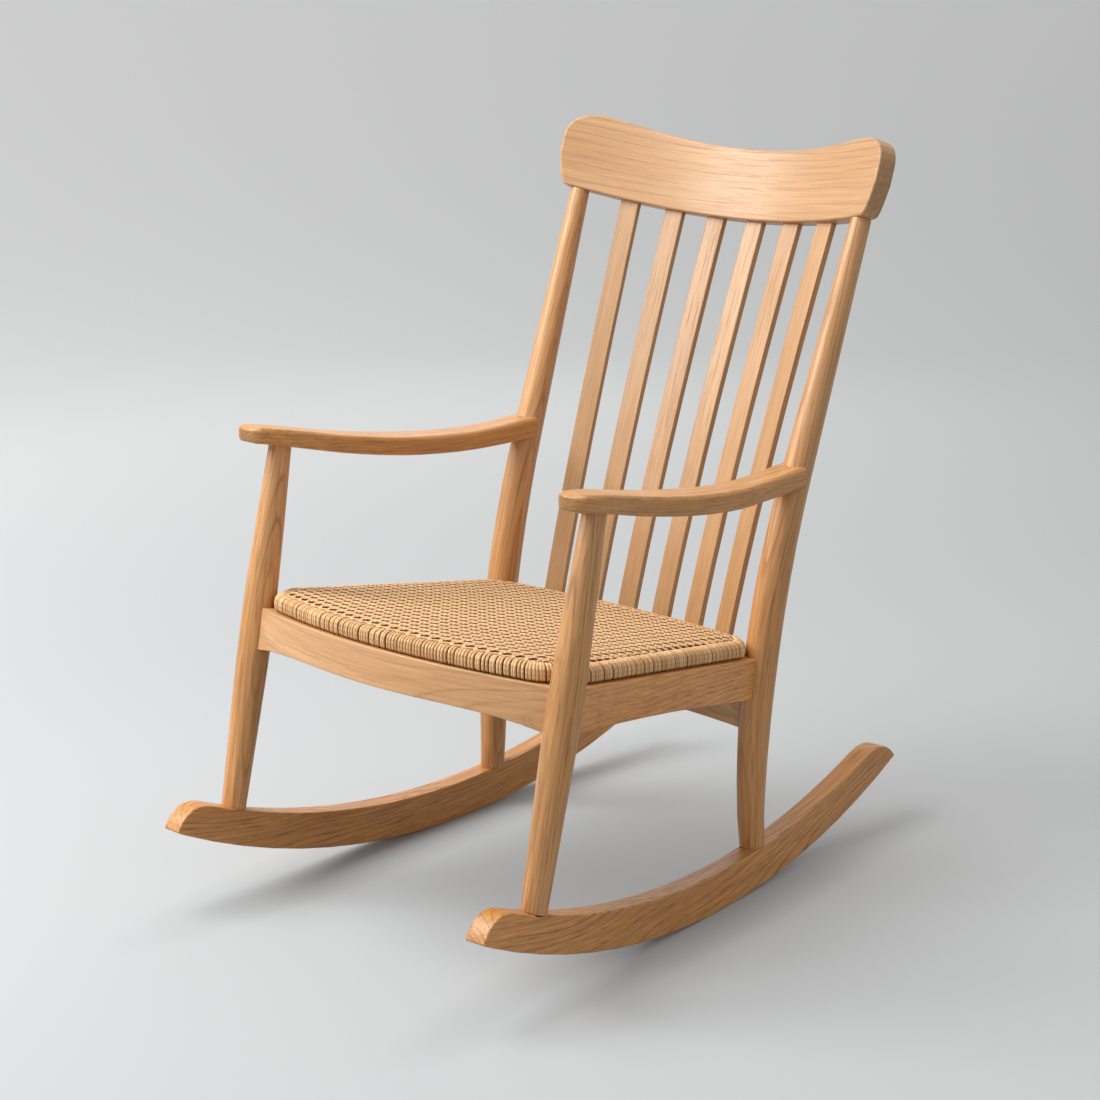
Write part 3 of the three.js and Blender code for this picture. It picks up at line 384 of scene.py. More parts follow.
class Graph:
    """Adds nodes to a tree, with their settings, values and links in one call."""

    def __init__(self, tree):
        self.tree = tree

    def add(self, kind, inputs=None, **settings):
        node = self.tree.nodes.new(kind)
        for key, value in settings.items():
            setattr(node, key, value)
        for key, value in (inputs or {}).items():
            self.put(node, key, value)
        return node

    def put(self, node, key, value):
        if isinstance(value, bpy.types.NodeSocket):
            self.tree.links.new(value, node.inputs[key])
        else:
            node.inputs[key].default_value = value

    def math(self, operation, *values):
        inputs = dict(enumerate(values))
        return self.add("ShaderNodeMath", inputs, operation=operation).outputs[0]

    def times(self, first, second):
        return self.math("MULTIPLY", first, second)

    def vector(self, operation, *values):
        node = self.add("ShaderNodeVectorMath", dict(enumerate(values)), operation=operation)
        return node.outputs["Value" if operation in ("LENGTH", "DOT_PRODUCT") else "Vector"]

    def place(self):
        return self.add("ShaderNodeTexCoord").outputs["Object"]

    def axes(self, vector):
        return self.add("ShaderNodeSeparateXYZ", {0: vector}).outputs

    def attribute(self, name):
        settings = {"attribute_name": name, "attribute_type": "GEOMETRY"}
        return self.add("ShaderNodeAttribute", **settings).outputs

    def scaled(self, vector, factors):
        return self.vector("MULTIPLY", vector, factors)

    def noise(self, vector, detail=2.0, roughness=0.5):
        inputs = {"Vector": vector, "Scale": 1.0, "Detail": detail, "Roughness": roughness}
        return self.add("ShaderNodeTexNoise", inputs)

    def ramp(self, factor, stops):
        node = self.add("ShaderNodeValToRGB", {"Fac": factor})
        elements = node.color_ramp.elements
        while len(elements) < len(stops):
            elements.new(0.5)
        for element, (place, level) in zip(elements, stops):
            element.position = place
            element.color = (level, level, level, 1.0)
        return node.outputs["Color"]

    def span(self, value, low, high, start, end, **settings):
        inputs = {"Value": value, "From Min": low, "From Max": high, "To Min": start, "To Max": end}
        return self.add("ShaderNodeMapRange", inputs, **settings).outputs[0]

    def mix(self, factor, first, second, blend="MIX"):
        node = self.add("ShaderNodeMix", data_type="RGBA", blend_type=blend)
        self.put(node, 0, factor)
        self.put(node, 6, first)
        self.put(node, 7, second)
        return node.outputs[2]

    def shaded(self, colour, shade):
        return self.mix(1.0, colour, shade, "MULTIPLY")

    def bump(self, strength, depth, height):
        inputs = {"Strength": strength, "Distance": depth, "Height": height}
        return self.add("ShaderNodeBump", inputs).outputs[0]


def rgba(colour):
    return (*colour, 1.0)


def new_material(name):
    """An empty node material with its shader and output, ready for a surface."""
    material = bpy.data.materials.new(name)
    material.use_nodes = True
    graph = Graph(material.node_tree)
    shader = material.node_tree.nodes["Principled BSDF"]
    return material, graph, shader


def oak_figure():
    """A group that turns a place in a board into oak. Z runs along the grain, and the middle
    of the tree is at the origin."""
    tree = bpy.data.node_groups.new("oak_figure", "ShaderNodeTree")
    for name in ("Place", "Seed"):
        tree.interface.new_socket(name, in_out="INPUT", socket_type="NodeSocketVector")
    for name in ("Waviness", "Contrast", "Spacing"):
        tree.interface.new_socket(name, in_out="INPUT", socket_type="NodeSocketFloat")
    tree.interface.new_socket("Color", in_out="OUTPUT", socket_type="NodeSocketColor")
    for name in ("Roughness", "Height"):
        tree.interface.new_socket(name, in_out="OUTPUT", socket_type="NodeSocketFloat")
    g = Graph(tree)
    entry = g.add("NodeGroupInput").outputs
    place = entry["Place"]
    contrast = entry["Contrast"]
    seeded = g.vector("ADD", place, entry["Seed"])

    slow = g.noise(g.scaled(seeded, SLOW_SCALE), detail=SLOW_DETAIL).outputs["Color"]
    slow = g.scaled(g.vector("SUBTRACT", slow, NOISE_MIDDLE), SLOW_REACH)
    slow = g.add("ShaderNodeVectorMath", {0: slow, "Scale": entry["Waviness"]}, operation="SCALE")
    fine = g.noise(g.scaled(seeded, FINE_SCALE)).outputs["Color"]
    fine = g.scaled(g.vector("SUBTRACT", fine, NOISE_MIDDLE), FINE_REACH)
    warped = g.vector("ADD", g.vector("ADD", place, slow.outputs["Vector"]), fine)
    radius = g.vector("LENGTH", g.scaled(warped, ACROSS_GRAIN))
    phase = g.math("DIVIDE", radius, entry["Spacing"])

    ring = g.ramp(g.math("FRACT", phase), RING_STOPS)
    ring_place = {"W": g.times(phase, RING_STRIDE)}
    per_ring = g.add("ShaderNodeTexNoise", ring_place, noise_dimensions="1D").outputs[0]
    choice = g.noise(g.scaled(seeded, CHOICE_SCALE)).outputs[0]
    strength = g.times(g.span(per_ring, *RING_SPAN), g.span(choice, *CHOICE_SPAN))
    line = g.times(g.times(ring, strength), contrast)

    fibre = g.noise(g.scaled(seeded, FIBRE_SCALE), NOISE_DETAIL, NOISE_GAIN).outputs[0]
    streak = g.noise(g.scaled(seeded, STREAK_SCALE), NOISE_DETAIL, NOISE_GAIN).outputs[0]
    pore = g.noise(g.scaled(seeded, PORE_SCALE), roughness=NOISE_GAIN).outputs[0]
    early = g.ramp(g.math("FRACT", phase), EARLY_STOPS)
    pore = g.times(g.span(pore, *PORE_SPAN), early)
    tone = g.noise(g.scaled(seeded, TONE_SCALE)).outputs[0]

    body = g.mix(g.span(tone, *TONE_SPAN), rgba(OAK_LIGHT), rgba(OAK_MIDDLE))
    body = g.mix(g.times(line, LINE_SHARE), body, rgba(OAK_LINE))
    body = g.shaded(body, g.span(fibre, *FIBRE_SPAN))
    streak_depth = g.span(contrast, *STREAK_BY_CONTRAST)
    body = g.shaded(body, g.span(streak, *STREAK_RANGE, streak_depth, STREAK_TOP))
    body = g.mix(g.times(pore, g.span(contrast, *PORE_BY_CONTRAST)), body, rgba(OAK_PORE))

    rough = g.math("ADD", g.times(fibre, FIBRE_ROUGHNESS), OAK_ROUGHNESS)
    rough = g.math("ADD", rough, g.times(pore, PORE_ROUGHNESS))
    height = g.math("SUBTRACT", g.times(fibre, FIBRE_HEIGHT), g.times(pore, PORE_HEIGHT))
    height = g.math("SUBTRACT", height, g.times(line, LINE_HEIGHT))
    g.add("NodeGroupOutput", {"Color": body, "Roughness": rough, "Height": height})
    return tree


OAK_FIGURE = oak_figure()


def bent_place(g, bow, sag, roll, lean, knee):
    """The place in a member after its bend is taken out: bow and sag per square metre of X,
    roll per square metre of Y, and lean beyond a knee height."""
    place = g.place()
    if not (bow or sag or roll or lean):
        return place
    x, y, z = g.axes(place)
    height = z
    square = g.times(x, x)
    z = g.math("SUBTRACT", z, g.times(square, sag))
    if roll:
        z = g.math("SUBTRACT", z, g.times(g.times(y, y), roll))
    y = g.math("ADD", y, g.times(square, bow))
    if lean:
        above = g.math("SMOOTH_MAX", g.math("SUBTRACT", height, knee), 0.0, KNEE_BLEND)
        y = g.math("SUBTRACT", y, g.times(above, lean))
    return g.add("ShaderNodeCombineXYZ", {0: x, 1: y, 2: z}).outputs[0]


def oak_material(name, middle, along, face, pith, waviness=1.0, contrast=1.0, tone=1.0,
                 spacing=5.0 * MM, tone_and_painted_light=(1.0, 1.0, 1.0), painted_top_light=None, end_shade=END_SHADE,
                 bow=0.0, sag=0.0, roll=0.0, lean=0.0, knee=0.0):
    """Oak whose grain runs along a member. The end grain is darker, and painted light makes the
    member paler above the seat, where more light falls on it."""
    grain = along.normalized()
    depth = (face - grain * face.dot(grain)).normalized()
    across = depth.cross(grain)
    turn = Matrix((across, depth, grain)).transposed()
    dice = random.Random(name)
    material, g, shader = new_material(name)
    mapping = g.add("ShaderNodeMapping", {
        "Vector": bent_place(g, bow, sag, roll, lean, knee),
        "Location": middle - across * pith[0] - depth * pith[1],
        "Rotation": turn.to_euler(),
    }, vector_type="TEXTURE")
    figure = g.add("ShaderNodeGroup", node_tree=OAK_FIGURE)
    g.put(figure, "Place", mapping.outputs[0])
    g.put(figure, "Seed", Vector([dice.uniform(-SEED_REACH, SEED_REACH) for _ in range(3)]))
    g.put(figure, "Waviness", waviness)
    g.put(figure, "Contrast", contrast)
    g.put(figure, "Spacing", spacing)
    level = tone * dice.uniform(*TONE_SPREAD)
    # The member's colour factor: partly the board's own colour, partly painted sheen or shade
    colour = g.shaded(figure.outputs["Color"], rgba(level * part for part in tone_and_painted_light))
    # Painted light: paler above the seat, where the member is lit more
    if painted_top_light:
        share = g.span(g.axes(g.place())[2], PAINTED_TOP_LIGHT_START, PAINTED_TOP_LIGHT_END, 0.0, 1.0)
        colour = g.mix(share, colour, g.shaded(colour, rgba(painted_top_light)))
    facing = g.add("ShaderNodeTexCoord").outputs["Normal"]
    facing = g.math("ABSOLUTE", g.vector("DOT_PRODUCT", facing, grain))
    colour = g.shaded(colour, g.span(facing, *END_GRAIN, 1.0, end_shade))
    g.put(shader, "Base Color", colour)
    g.put(shader, "Roughness", figure.outputs["Roughness"])
    g.put(shader, "Normal", g.bump(OAK_BUMP, OAK_BUMP_DEPTH, figure.outputs["Height"]))
    return material


def box_middle(node):
    low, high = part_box(node)
    return (low + high) / 2


def box_size(node):
    low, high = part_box(node)
    return high - low


def new_object(name, data):
    obj = bpy.data.objects.new(name, data)
    SCENE.collection.objects.link(obj)
    return obj


def shade_smooth(mesh):
    mesh.polygons.foreach_set("use_smooth", [True] * len(mesh.polygons))


def give_material(obj, material):
    obj.data.materials.clear()
    obj.data.materials.append(material)


# Wooden members

def solid_from(obj):
    work = bmesh.new()
    work.from_mesh(obj.data)
    bmesh.ops.remove_doubles(work, verts=work.verts, dist=WELD)
    return work


def neighbour_tree(name):
    """All the other nodes as one search tree, to tell a free edge from one in a joint."""
    work = bmesh.new()
    for other, obj in NODES.items():
        if other != name:
            work.from_mesh(obj.data)
    tree = BVHTree.FromBMesh(work)
    work.free()
    return tree


def edge_middle(edge):
    return (edge.verts[0].co + edge.verts[1].co) / 2


def clear_of_neighbours(edge, others):
    return others.find_nearest(edge_middle(edge), TOUCH)[0] is None


def clear_of_sockets(edge, own):
    """Whether no face at the edge looks across a hole in its own piece."""
    first, second = edge.link_faces
    for face, other in ((first, second), (second, first)):
        start = edge_middle(edge) + face.normal * SOCKET_STEP - other.normal * SOCKET_INSET
        if own.ray_cast(start, face.normal, SOCKET_WIDTH)[0] is not None:
            return False
    return True


def sharp_edge(edge):
    return edge.is_manifold and edge.is_convex and edge.calc_face_angle() >= EDGE_ANGLE


def wooden_piece(name, material, ease, sockets_only=False):
    """A CAD member again, with its sharp outer edges rounded and its faces shaded smooth. An
    edge in a joint stays sharp. With sockets_only that is an edge of a socket alone, for a
    member whose neighbours lie close to all its edges."""
    work = solid_from(NODES[name])
    bmesh.ops.dissolve_limit(work, angle_limit=FLAT_ANGLE, verts=work.verts, edges=work.edges)
    if ease:
        tree = BVHTree.FromBMesh(work) if sockets_only else neighbour_tree(name)
        clear = clear_of_sockets if sockets_only else clear_of_neighbours
        edges = [edge for edge in work.edges if sharp_edge(edge) and clear(edge, tree)]
        bmesh.ops.bevel(
            work, geom=edges, offset=ease, offset_type="OFFSET", segments=EASE_STEPS,
            profile=EASE_PROFILE, affect="EDGES", clamp_overlap=False,
        )
    mesh = bpy.data.meshes.new(name + "_wood")
    work.to_mesh(mesh)
    work.free()
    shade_smooth(mesh)
    mesh.set_sharp_from_angle(angle=SMOOTH_ANGLE)
    mesh.materials.append(material)
    piece = new_object(name + "_wood", mesh)
    weighted = piece.modifiers.new("Weighted normals", "WEIGHTED_NORMAL")
    weighted.keep_sharp = True
    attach(piece, BODY)
    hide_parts(name)


def side_members(side):
    """The rocker, side rail, arm, front leg and back post of one side."""
    out = X if side == "left" else -X
    leg_tone, arm_tone = SIDE_TONES[side]
    name = side + "_rocker"
    oak = oak_material(name, box_middle(name), Y + Z * ROCKER_TILT, out, **MEMBERS["rocker"])
    wooden_piece(name, oak, EASE["rocker"])
    name = side + "_side_rail"
    oak = oak_material(name, box_middle(name), Y - Z * SEAT_FALL, out, **MEMBERS["side_rail"])
    wooden_piece(name, oak, EASE["side_rail"])
    name = side + "_arm"
    along = Y - Z * ARM_FALL
    oak = oak_material(name, box_middle(name), along, Z, tone=arm_tone, **MEMBERS["arm"])
    wooden_piece(name, oak, EASE["arm"])
    name = side + "_front_leg"
    along = Vector((LEG_SPLAY * out.x, LEG_RAKE, 1))
    face = -Y + out
    oak = oak_material(name, box_middle(name), along, face, tone=leg_tone, **MEMBERS["front_leg"])
    wooden_piece(name, oak, 0)
    name = side + "_back_post"
    low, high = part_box(name)
    middle = Vector((box_middle(name).x, low.y + POST_FRONT, high.z / 2))
    wooden_piece(name, oak_material(name, middle, Z, face, **MEMBERS["back_post"]), 0)


def cross_members():
    """The front rail, rear rail and crest rail, whose grain follows their bends."""
    name = "front_rail"
    bow = -FRONT_RAIL_BOW / (box_size(name).x / 2) ** 2
    oak = oak_material(name, box_middle(name), X, -Y, bow=bow, **MEMBERS[name])
    wooden_piece(name, oak, EASE[name])
    name = "rear_rail"
    bow = (box_size(name).y - REAR_RAIL_DEPTH) / (box_size(name).x / 2) ** 2
    oak = oak_material(name, box_middle(name), X, -Y, bow=bow, **MEMBERS[name])
    wooden_piece(name, oak, EASE[name])
    name = "crest_rail"
    square = (box_size(name).x / 2) ** 2
    bends = {"bow": CREST_BOW / square, "sag": CREST_SAG / square}
    face = -Y + Z * BACK_LEAN
    oak = oak_material(name, box_middle(name), X, face, **bends, **MEMBERS[name])
    wooden_piece(name, oak, EASE[name], sockets_only=True)


def back_slats():
    """The slats, each a little lighter towards the sitter's left as painted light."""
    for index in range(1, SLATS + 1):
        name = f"back_slat_{index}"
        low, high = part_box(name)
        middle = box_middle(name)
        side = 1 if middle.x > 0 else -1
        along = Vector((side * (high.x - low.x - SLAT_WIDTH), high.y - low.y, high.z - low.z))
        pith = (SLAT_PITH + SLAT_PITH_STEP * index, SLAT_PITH_DEPTH)
        # Painted light across the back: lighter towards the sitter's left
        tone = SLAT_TONE * (1 + SLAT_LIGHT_DRIFT * middle.x)
        oak = oak_material(name, middle, along, -Y, pith, tone=tone, **MEMBERS["back_slat"])
        wooden_piece(name, oak, EASE["back_slat"])


def hidden_wood():
    """The pieces that show only from below or behind keep their CAD shape."""
    for name, obj in NODES.items():
        if any(word in name for word in HIDDEN):
            size = box_size(name)
            grain = X if size.x > size.y else Y
            give_material(obj, oak_material(name, box_middle(name), grain, Z, **MEMBERS["hidden"]))


def screw_material():
    """Zinc-plated steel with fine turned scratches."""
    material, g, shader = new_material("screw_steel")
    place = g.place()
    scratch = g.noise(g.scaled(place, SCRATCH_SCALE), detail=NOISE_DETAIL).outputs[0]
    stain = g.span(g.noise(g.scaled(place, STAIN_SCALE)).outputs[0], *STAIN_SPAN)
    g.put(shader, "Base Color", g.mix(stain, rgba(STEEL_LIGHT), rgba(STEEL_DULL)))
    g.put(shader, "Roughness", g.span(scratch, *STEEL_ROUGHNESS_SPAN))
    g.put(shader, "Normal", g.bump(STEEL_BUMP, STEEL_BUMP_DEPTH, scratch))
    g.put(shader, "Metallic", 1.0)
    return material


def screws():
    steel = screw_material()
    for name, obj in NODES.items():
        if "screw" in name:
            give_material(obj, steel)


# Seat: the outline in plan and the height above the floor

def bend_points(start, control, end):
    """Points on a smooth bend, after its start."""
    shares = np.linspace(0, 1, TURN_STEPS + 1)[1:, None]
    start, control, end = map(np.array, (start, control, end))
    return (1 - shares) ** 2 * start + 2 * shares * (1 - shares) * control + shares ** 2 * end


def run_along(path):
    """The distance from the start of a path to each of its points."""
    return np.concatenate([[0], np.cumsum(np.linalg.norm(np.diff(path, axis=0), axis=1))])


def panel_outline():
    """The whole edge of the seat in plan, anticlockwise from the front middle, evenly spaced,
    and its length."""
    half = [np.array([PANEL_FRONT])]
    for control, end in PANEL_TURNS:
        half.append(bend_points(half[-1][-1], control, end))
    half = np.vstack(half)
    whole = np.vstack([half, (half * (-1, 1))[-2:0:-1]]) * MM
    loop = np.vstack([whole, whole[:1]])
    run = run_along(loop)
    places = np.linspace(0, run[-1], OUTLINE_STEPS + 1)[:-1]
    outline = np.stack([np.interp(places, run, loop[:, i]) for i in range(2)], axis=1)
    return outline, run[-1]


def outward_normals(outline):
    along = np.roll(outline, -NORMAL_REACH, axis=0) - np.roll(outline, NORMAL_REACH, axis=0)
    along /= np.linalg.norm(along, axis=1, keepdims=True)
    return np.stack([along[:, 1], -along[:, 0]], axis=1)


def edge_distance(points, outline):
    """How far each point lies inside the outline; negative outside it."""
    distance = np.empty(len(points))
    ahead = np.roll(outline, -1, axis=0)
    rise = np.where(ahead[:, 1] == outline[:, 1], 1, ahead[:, 1] - outline[:, 1])
    for start in range(0, len(points), POINTS_AT_ONCE):
        part = points[start:start + POINTS_AT_ONCE]
        x, y = part[:, :1], part[:, 1:2]
        nearest = np.linalg.norm(part[:, None] - outline[None], axis=2).min(axis=1)
        spans = (outline[:, 1] > y) != (ahead[:, 1] > y)
        cross = outline[:, 0] + (y - outline[:, 1]) * (ahead[:, 0] - outline[:, 0]) / rise
        inside = (spans & (x < cross)).sum(axis=1) % 2 == 1
        distance[start:start + POINTS_AT_ONCE] = nearest * np.where(inside, 1, -1)
    return distance


def plane_height(y):
    """The seat plane: the top of the rails, which falls to the back."""
    return SEAT_FRONT_HEIGHT - SEAT_FALL * (y - SEAT_FRONT_Y)


def top_height(points, inset):
    """The top of the seat, which rises a little inside its edge."""
    crown = PANEL_CROWN * np.clip((inset - PANEL_EDGE) / (CROWN_RUN - PANEL_EDGE), 0, 1)
    return plane_height(points[:, 1]) + PANEL_RISE + crown


class Strands:
    """Collects swept cords into one mesh. Each point keeps its run along the cord and its place
    round it, and the cord's shade, the depth below the face of the seat and the side it is on; the
    last two set where the material paints shade."""

    def __init__(self):
        self.points = []
        self.faces = []
        self.marks = []
        self.tones_and_painted_shade = []
        self.count = 0

    def sweep(self, path, up, radius, flatness, shade, depth):
        along = np.gradient(path, axis=0)
        along /= np.linalg.norm(along, axis=1, keepdims=True)
        side = np.cross(along, up)
        side /= np.linalg.norm(side, axis=1, keepdims=True)
        rise = np.cross(side, along)
        turns = np.arange(CORD_SIDES) / CORD_SIDES * 2 * math.pi
        ring = path[:, None] + radius * (
            np.cos(turns)[None, :, None] * side[:, None]
            + flatness * np.sin(turns)[None, :, None] * rise[:, None]
        )
        rows = len(path)
        step = np.arange(CORD_SIDES)
        first = self.count + np.arange(rows - 1)[:, None] * CORD_SIDES
        a = first + step
        b = first + (step + 1) % CORD_SIDES
        quads = np.stack([a, b, b + CORD_SIDES, a + CORD_SIDES], axis=-1)
        marks = (run_along(path)[:, None], np.cos(turns), np.sin(turns))
        below = depth - (ring - path[:, None])[:, :, 2]
        tones_and_painted_shade = (shade, below, np.abs(np.cos(turns)))
        self.points.append(ring.reshape(-1, 3))
        self.faces.append(quads.reshape(-1, 4))
        self.marks.append(np.stack(np.broadcast_arrays(*marks), axis=-1).reshape(-1, 3))
        self.tones_and_painted_shade.append(np.stack(np.broadcast_arrays(*tones_and_painted_shade), axis=-1).reshape(-1, 3))
        self.count += rows * CORD_SIDES

    def piece(self, name, material, holes=None):
        points = np.vstack(self.points).astype(np.float32)
        faces = np.vstack(self.faces).astype(np.int32)
        mesh = bpy.data.meshes.new(name)
        mesh.vertices.add(len(points))
        mesh.vertices.foreach_set("co", points.ravel())
        mesh.loops.add(faces.size)
        mesh.loops.foreach_set("vertex_index", faces.ravel())
        mesh.polygons.add(len(faces))
        mesh.polygons.foreach_set("loop_start", np.arange(0, faces.size, 4, dtype=np.int32))
        mesh.update(calc_edges=True)
        for key, parts in (("twist", self.marks), ("tone_and_painted_light", self.tones_and_painted_shade)):
            attribute = mesh.attributes.new(key, "FLOAT_VECTOR", "POINT")
            attribute.data.foreach_set("vector", np.vstack(parts).astype(np.float32).ravel())
        if holes is not None:
            attribute = mesh.attributes.new("hole", "FLOAT", "POINT")
            attribute.data.foreach_set("value", holes.astype(np.float32))
        seat_piece(name, mesh, material)


def seat_piece(name, mesh, material):
    shade_smooth(mesh)
    mesh.materials.append(material)
    piece = new_object(name, mesh)
    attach(piece, BODY)
    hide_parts("woven_seat")


def runs_inside(flags):
    """First and last index of each unbroken run of true flags."""
    edges = np.flatnonzero(np.diff(np.concatenate([[0], flags.astype(int), [0]])))
    return list(zip(edges[::2], edges[1::2] - 1))


def lay_cord(strands, plan, lift, outline, dice):
    """Lays one cord over the seat where it is inside the border, and tucks its ends down."""
    inset = edge_distance(plan, outline)
    drop = WEAVE_RISE + CORD_RADIUS * CORD_FLATNESS
    for first, last in runs_inside(inset > BORDER_INSET):
        if last - first < SHORTEST_CORD:
            continue
        part = slice(first, last + 1)
        tuck = np.clip((BORDER_INSET + TUCK_RUN - inset[part]) / TUCK_RUN, 0, 1) * TUCK_DROP
        depth = drop - lift[part] + tuck
        path = np.column_stack([plan[part], top_height(plan[part], inset[part]) - depth])
        radius = CORD_RADIUS * dice.uniform(*CORD_SPREAD)
        strands.sweep(path, (0, 0, 1), radius, CORD_FLATNESS, dice.random(), depth[:, None])


def seat_rows(outline):
    """Where the first and the last row cross the middle line."""
    return outline[:, 1].min() + ROW_PITCH, outline[:, 1].max() - ROW_PITCH


def row_y(x, row, outline):
    """The place of a row at each x. The rows bend with the front and the back of the seat."""
    front, rear = seat_rows(outline)
    share = row * ROW_PITCH / (rear - front)
    bend = (x / PANEL_HALF) ** 2
    return (front + FRONT_BOW * bend) * (1 - share) + (rear - REAR_BOW * bend) * share


def hole_share(points, outline):
    """How near each point lies to the middle of a hole: 1 in the middle, 0 on a pair of cords."""
    front, rear = seat_rows(outline)
    bend = (points[:, 0] / PANEL_HALF) ** 2
    near = front + FRONT_BOW * bend
    far = rear - REAR_BOW * bend
    row = (points[:, 1] - near) / (far - near) * (rear - front) / ROW_PITCH
    column = points[:, 0] / COLUMN_PITCH
    return (np.sin(math.pi * row) * np.sin(math.pi * column)) ** 2


def weave_seat(outline, material):
    dice = random.Random(SEED)
    strands = Strands()
    front, rear = seat_rows(outline)
    rows = int((rear - front) / ROW_PITCH) + 1
    columns = int(PANEL_HALF / COLUMN_PITCH)
    x = np.arange(-PANEL_HALF, PANEL_HALF, WEAVE_STEP)
    turn = 2 * math.pi * (x / COLUMN_PITCH)
    for row in range(-1, rows + 1):
        for side in (-1, 1):
            shift = side * (PAIR_HALF + PAIR_PINCH * np.cos(turn))
            plan = np.column_stack([x, row_y(x, row, outline) + shift])
            lay_cord(strands, plan, -side * WEAVE_RISE * np.sin(turn), outline, dice)
    run = np.arange(-1, rows + 1, WEAVE_STEP / ROW_PITCH)
    turn = 2 * math.pi * run
    for column in range(-columns, columns + 1):
        middle = column * COLUMN_PITCH
        for side in (-1, 1):
            shift = side * (PAIR_HALF + PAIR_PINCH * np.cos(turn))
            plan = np.column_stack([middle + shift, row_y(middle, run, outline)])
            lay_cord(strands, plan, side * WEAVE_RISE * np.sin(turn), outline, dice)
    strands.piece("seat_weave", material, hole_share(np.vstack(strands.points), outline))


def wrap_profile():
    """A wrap in section: inset from the edge and height above the seat plane."""
    knots = np.array(WRAP_KNOTS) * MM
    run = run_along(knots)
    fine = np.linspace(0, run[-1], WRAP_STEPS)
    soft = np.stack([np.interp(fine, run, knots[:, i]) for i in range(2)], axis=1)
    for _ in range(WRAP_ROUNDINGS):
        soft[1:-1] = (soft[:-2] + 2 * soft[1:-1] + soft[2:]) / 4
    return soft


def wrap_border(outline, length, material):
    """Winds the wraps round the edge of the seat. Low down they count as deep, and darken with
    painted shadow along the bottom of the border.
    """
    dice = random.Random(SEED + 1)
    strands = Strands()
    normals = outward_normals(outline)
    profile = wrap_profile()
    # Painted shadow: the low part of each wrap counts as deep
    depth = DEPTH_END * np.clip((WRAP_SHADOW_TOP - profile[:, 1:]) / WRAP_SHADOW_RUN, 0, 1)
    group_run = WRAP_GROUP * WRAP_PITCH + WRAP_GROUP_GAP
    groups = round(length / group_run)
    scale = length / (groups * group_run)
    for group in range(groups):
        slip = dice.uniform(-WRAP_SLIP, WRAP_SLIP)
        for cord in range(WRAP_GROUP):
            run = (group * group_run + cord * WRAP_PITCH) * scale + slip
            place = run / length * OUTLINE_STEPS + dice.uniform(-WRAP_STRAY, WRAP_STRAY)
            index = math.floor(place) % OUTLINE_STEPS
            share = place - math.floor(place)
            ahead = (index + 1) % OUTLINE_STEPS
            point = outline[index] * (1 - share) + outline[ahead] * share
            normal = normals[index] * (1 - share) + normals[ahead] * share
            normal /= np.linalg.norm(normal)
            plan = point - profile[:, :1] * normal
            lift = dice.uniform(*WRAP_LIFT) * MM
            path = np.column_stack([plan, plane_height(plan[:, 1]) + profile[:, 1] + lift])
            tangent = np.array([-normal[1], normal[0], 0])
            up = np.cross(tangent, np.gradient(path, axis=0))
            radius = WRAP_RADIUS * dice.uniform(*WRAP_SPREAD)
            strands.sweep(path, up, radius, WRAP_FLATNESS, dice.random(), depth)
    strands.piece("seat_border", material)


def shade_lining(outline, material):
    """The dark inner face that shows through the holes, with a skirt inside the border: a
    near-black sheet of painted shade in the holes and under the border.
    """
    rings = []
    for inset, rise in LINING_SKIRT:
        plan = outline - outward_normals(outline) * inset * MM
        rings.append(np.column_stack([plan, plane_height(plan[:, 1]) + rise * MM]))
    middle = outline.mean(axis=0)
    for share in np.linspace(1, LINING_CENTRE, LINING_RINGS):
        plan = outline * share * LINING_SHARE + middle * (1 - share * LINING_SHARE)
        inset = edge_distance(plan, outline)
        rings.append(np.column_stack([plan, top_height(plan, inset) - LINING_DROP]))
    count = len(outline)
    step = np.arange(count)
    faces = []
    for ring in range(len(rings) - 1):
        a = ring * count + step
        b = ring * count + (step + 1) % count
        faces += np.stack([a, b, b + count, a + count], axis=1).tolist()
    faces.append(((len(rings) - 1) * count + step).tolist())
    mesh = bpy.data.meshes.new("shade_lining")
    mesh.from_pydata(np.vstack(rings).tolist(), [], faces)
    seat_piece("shade_lining", mesh, material)


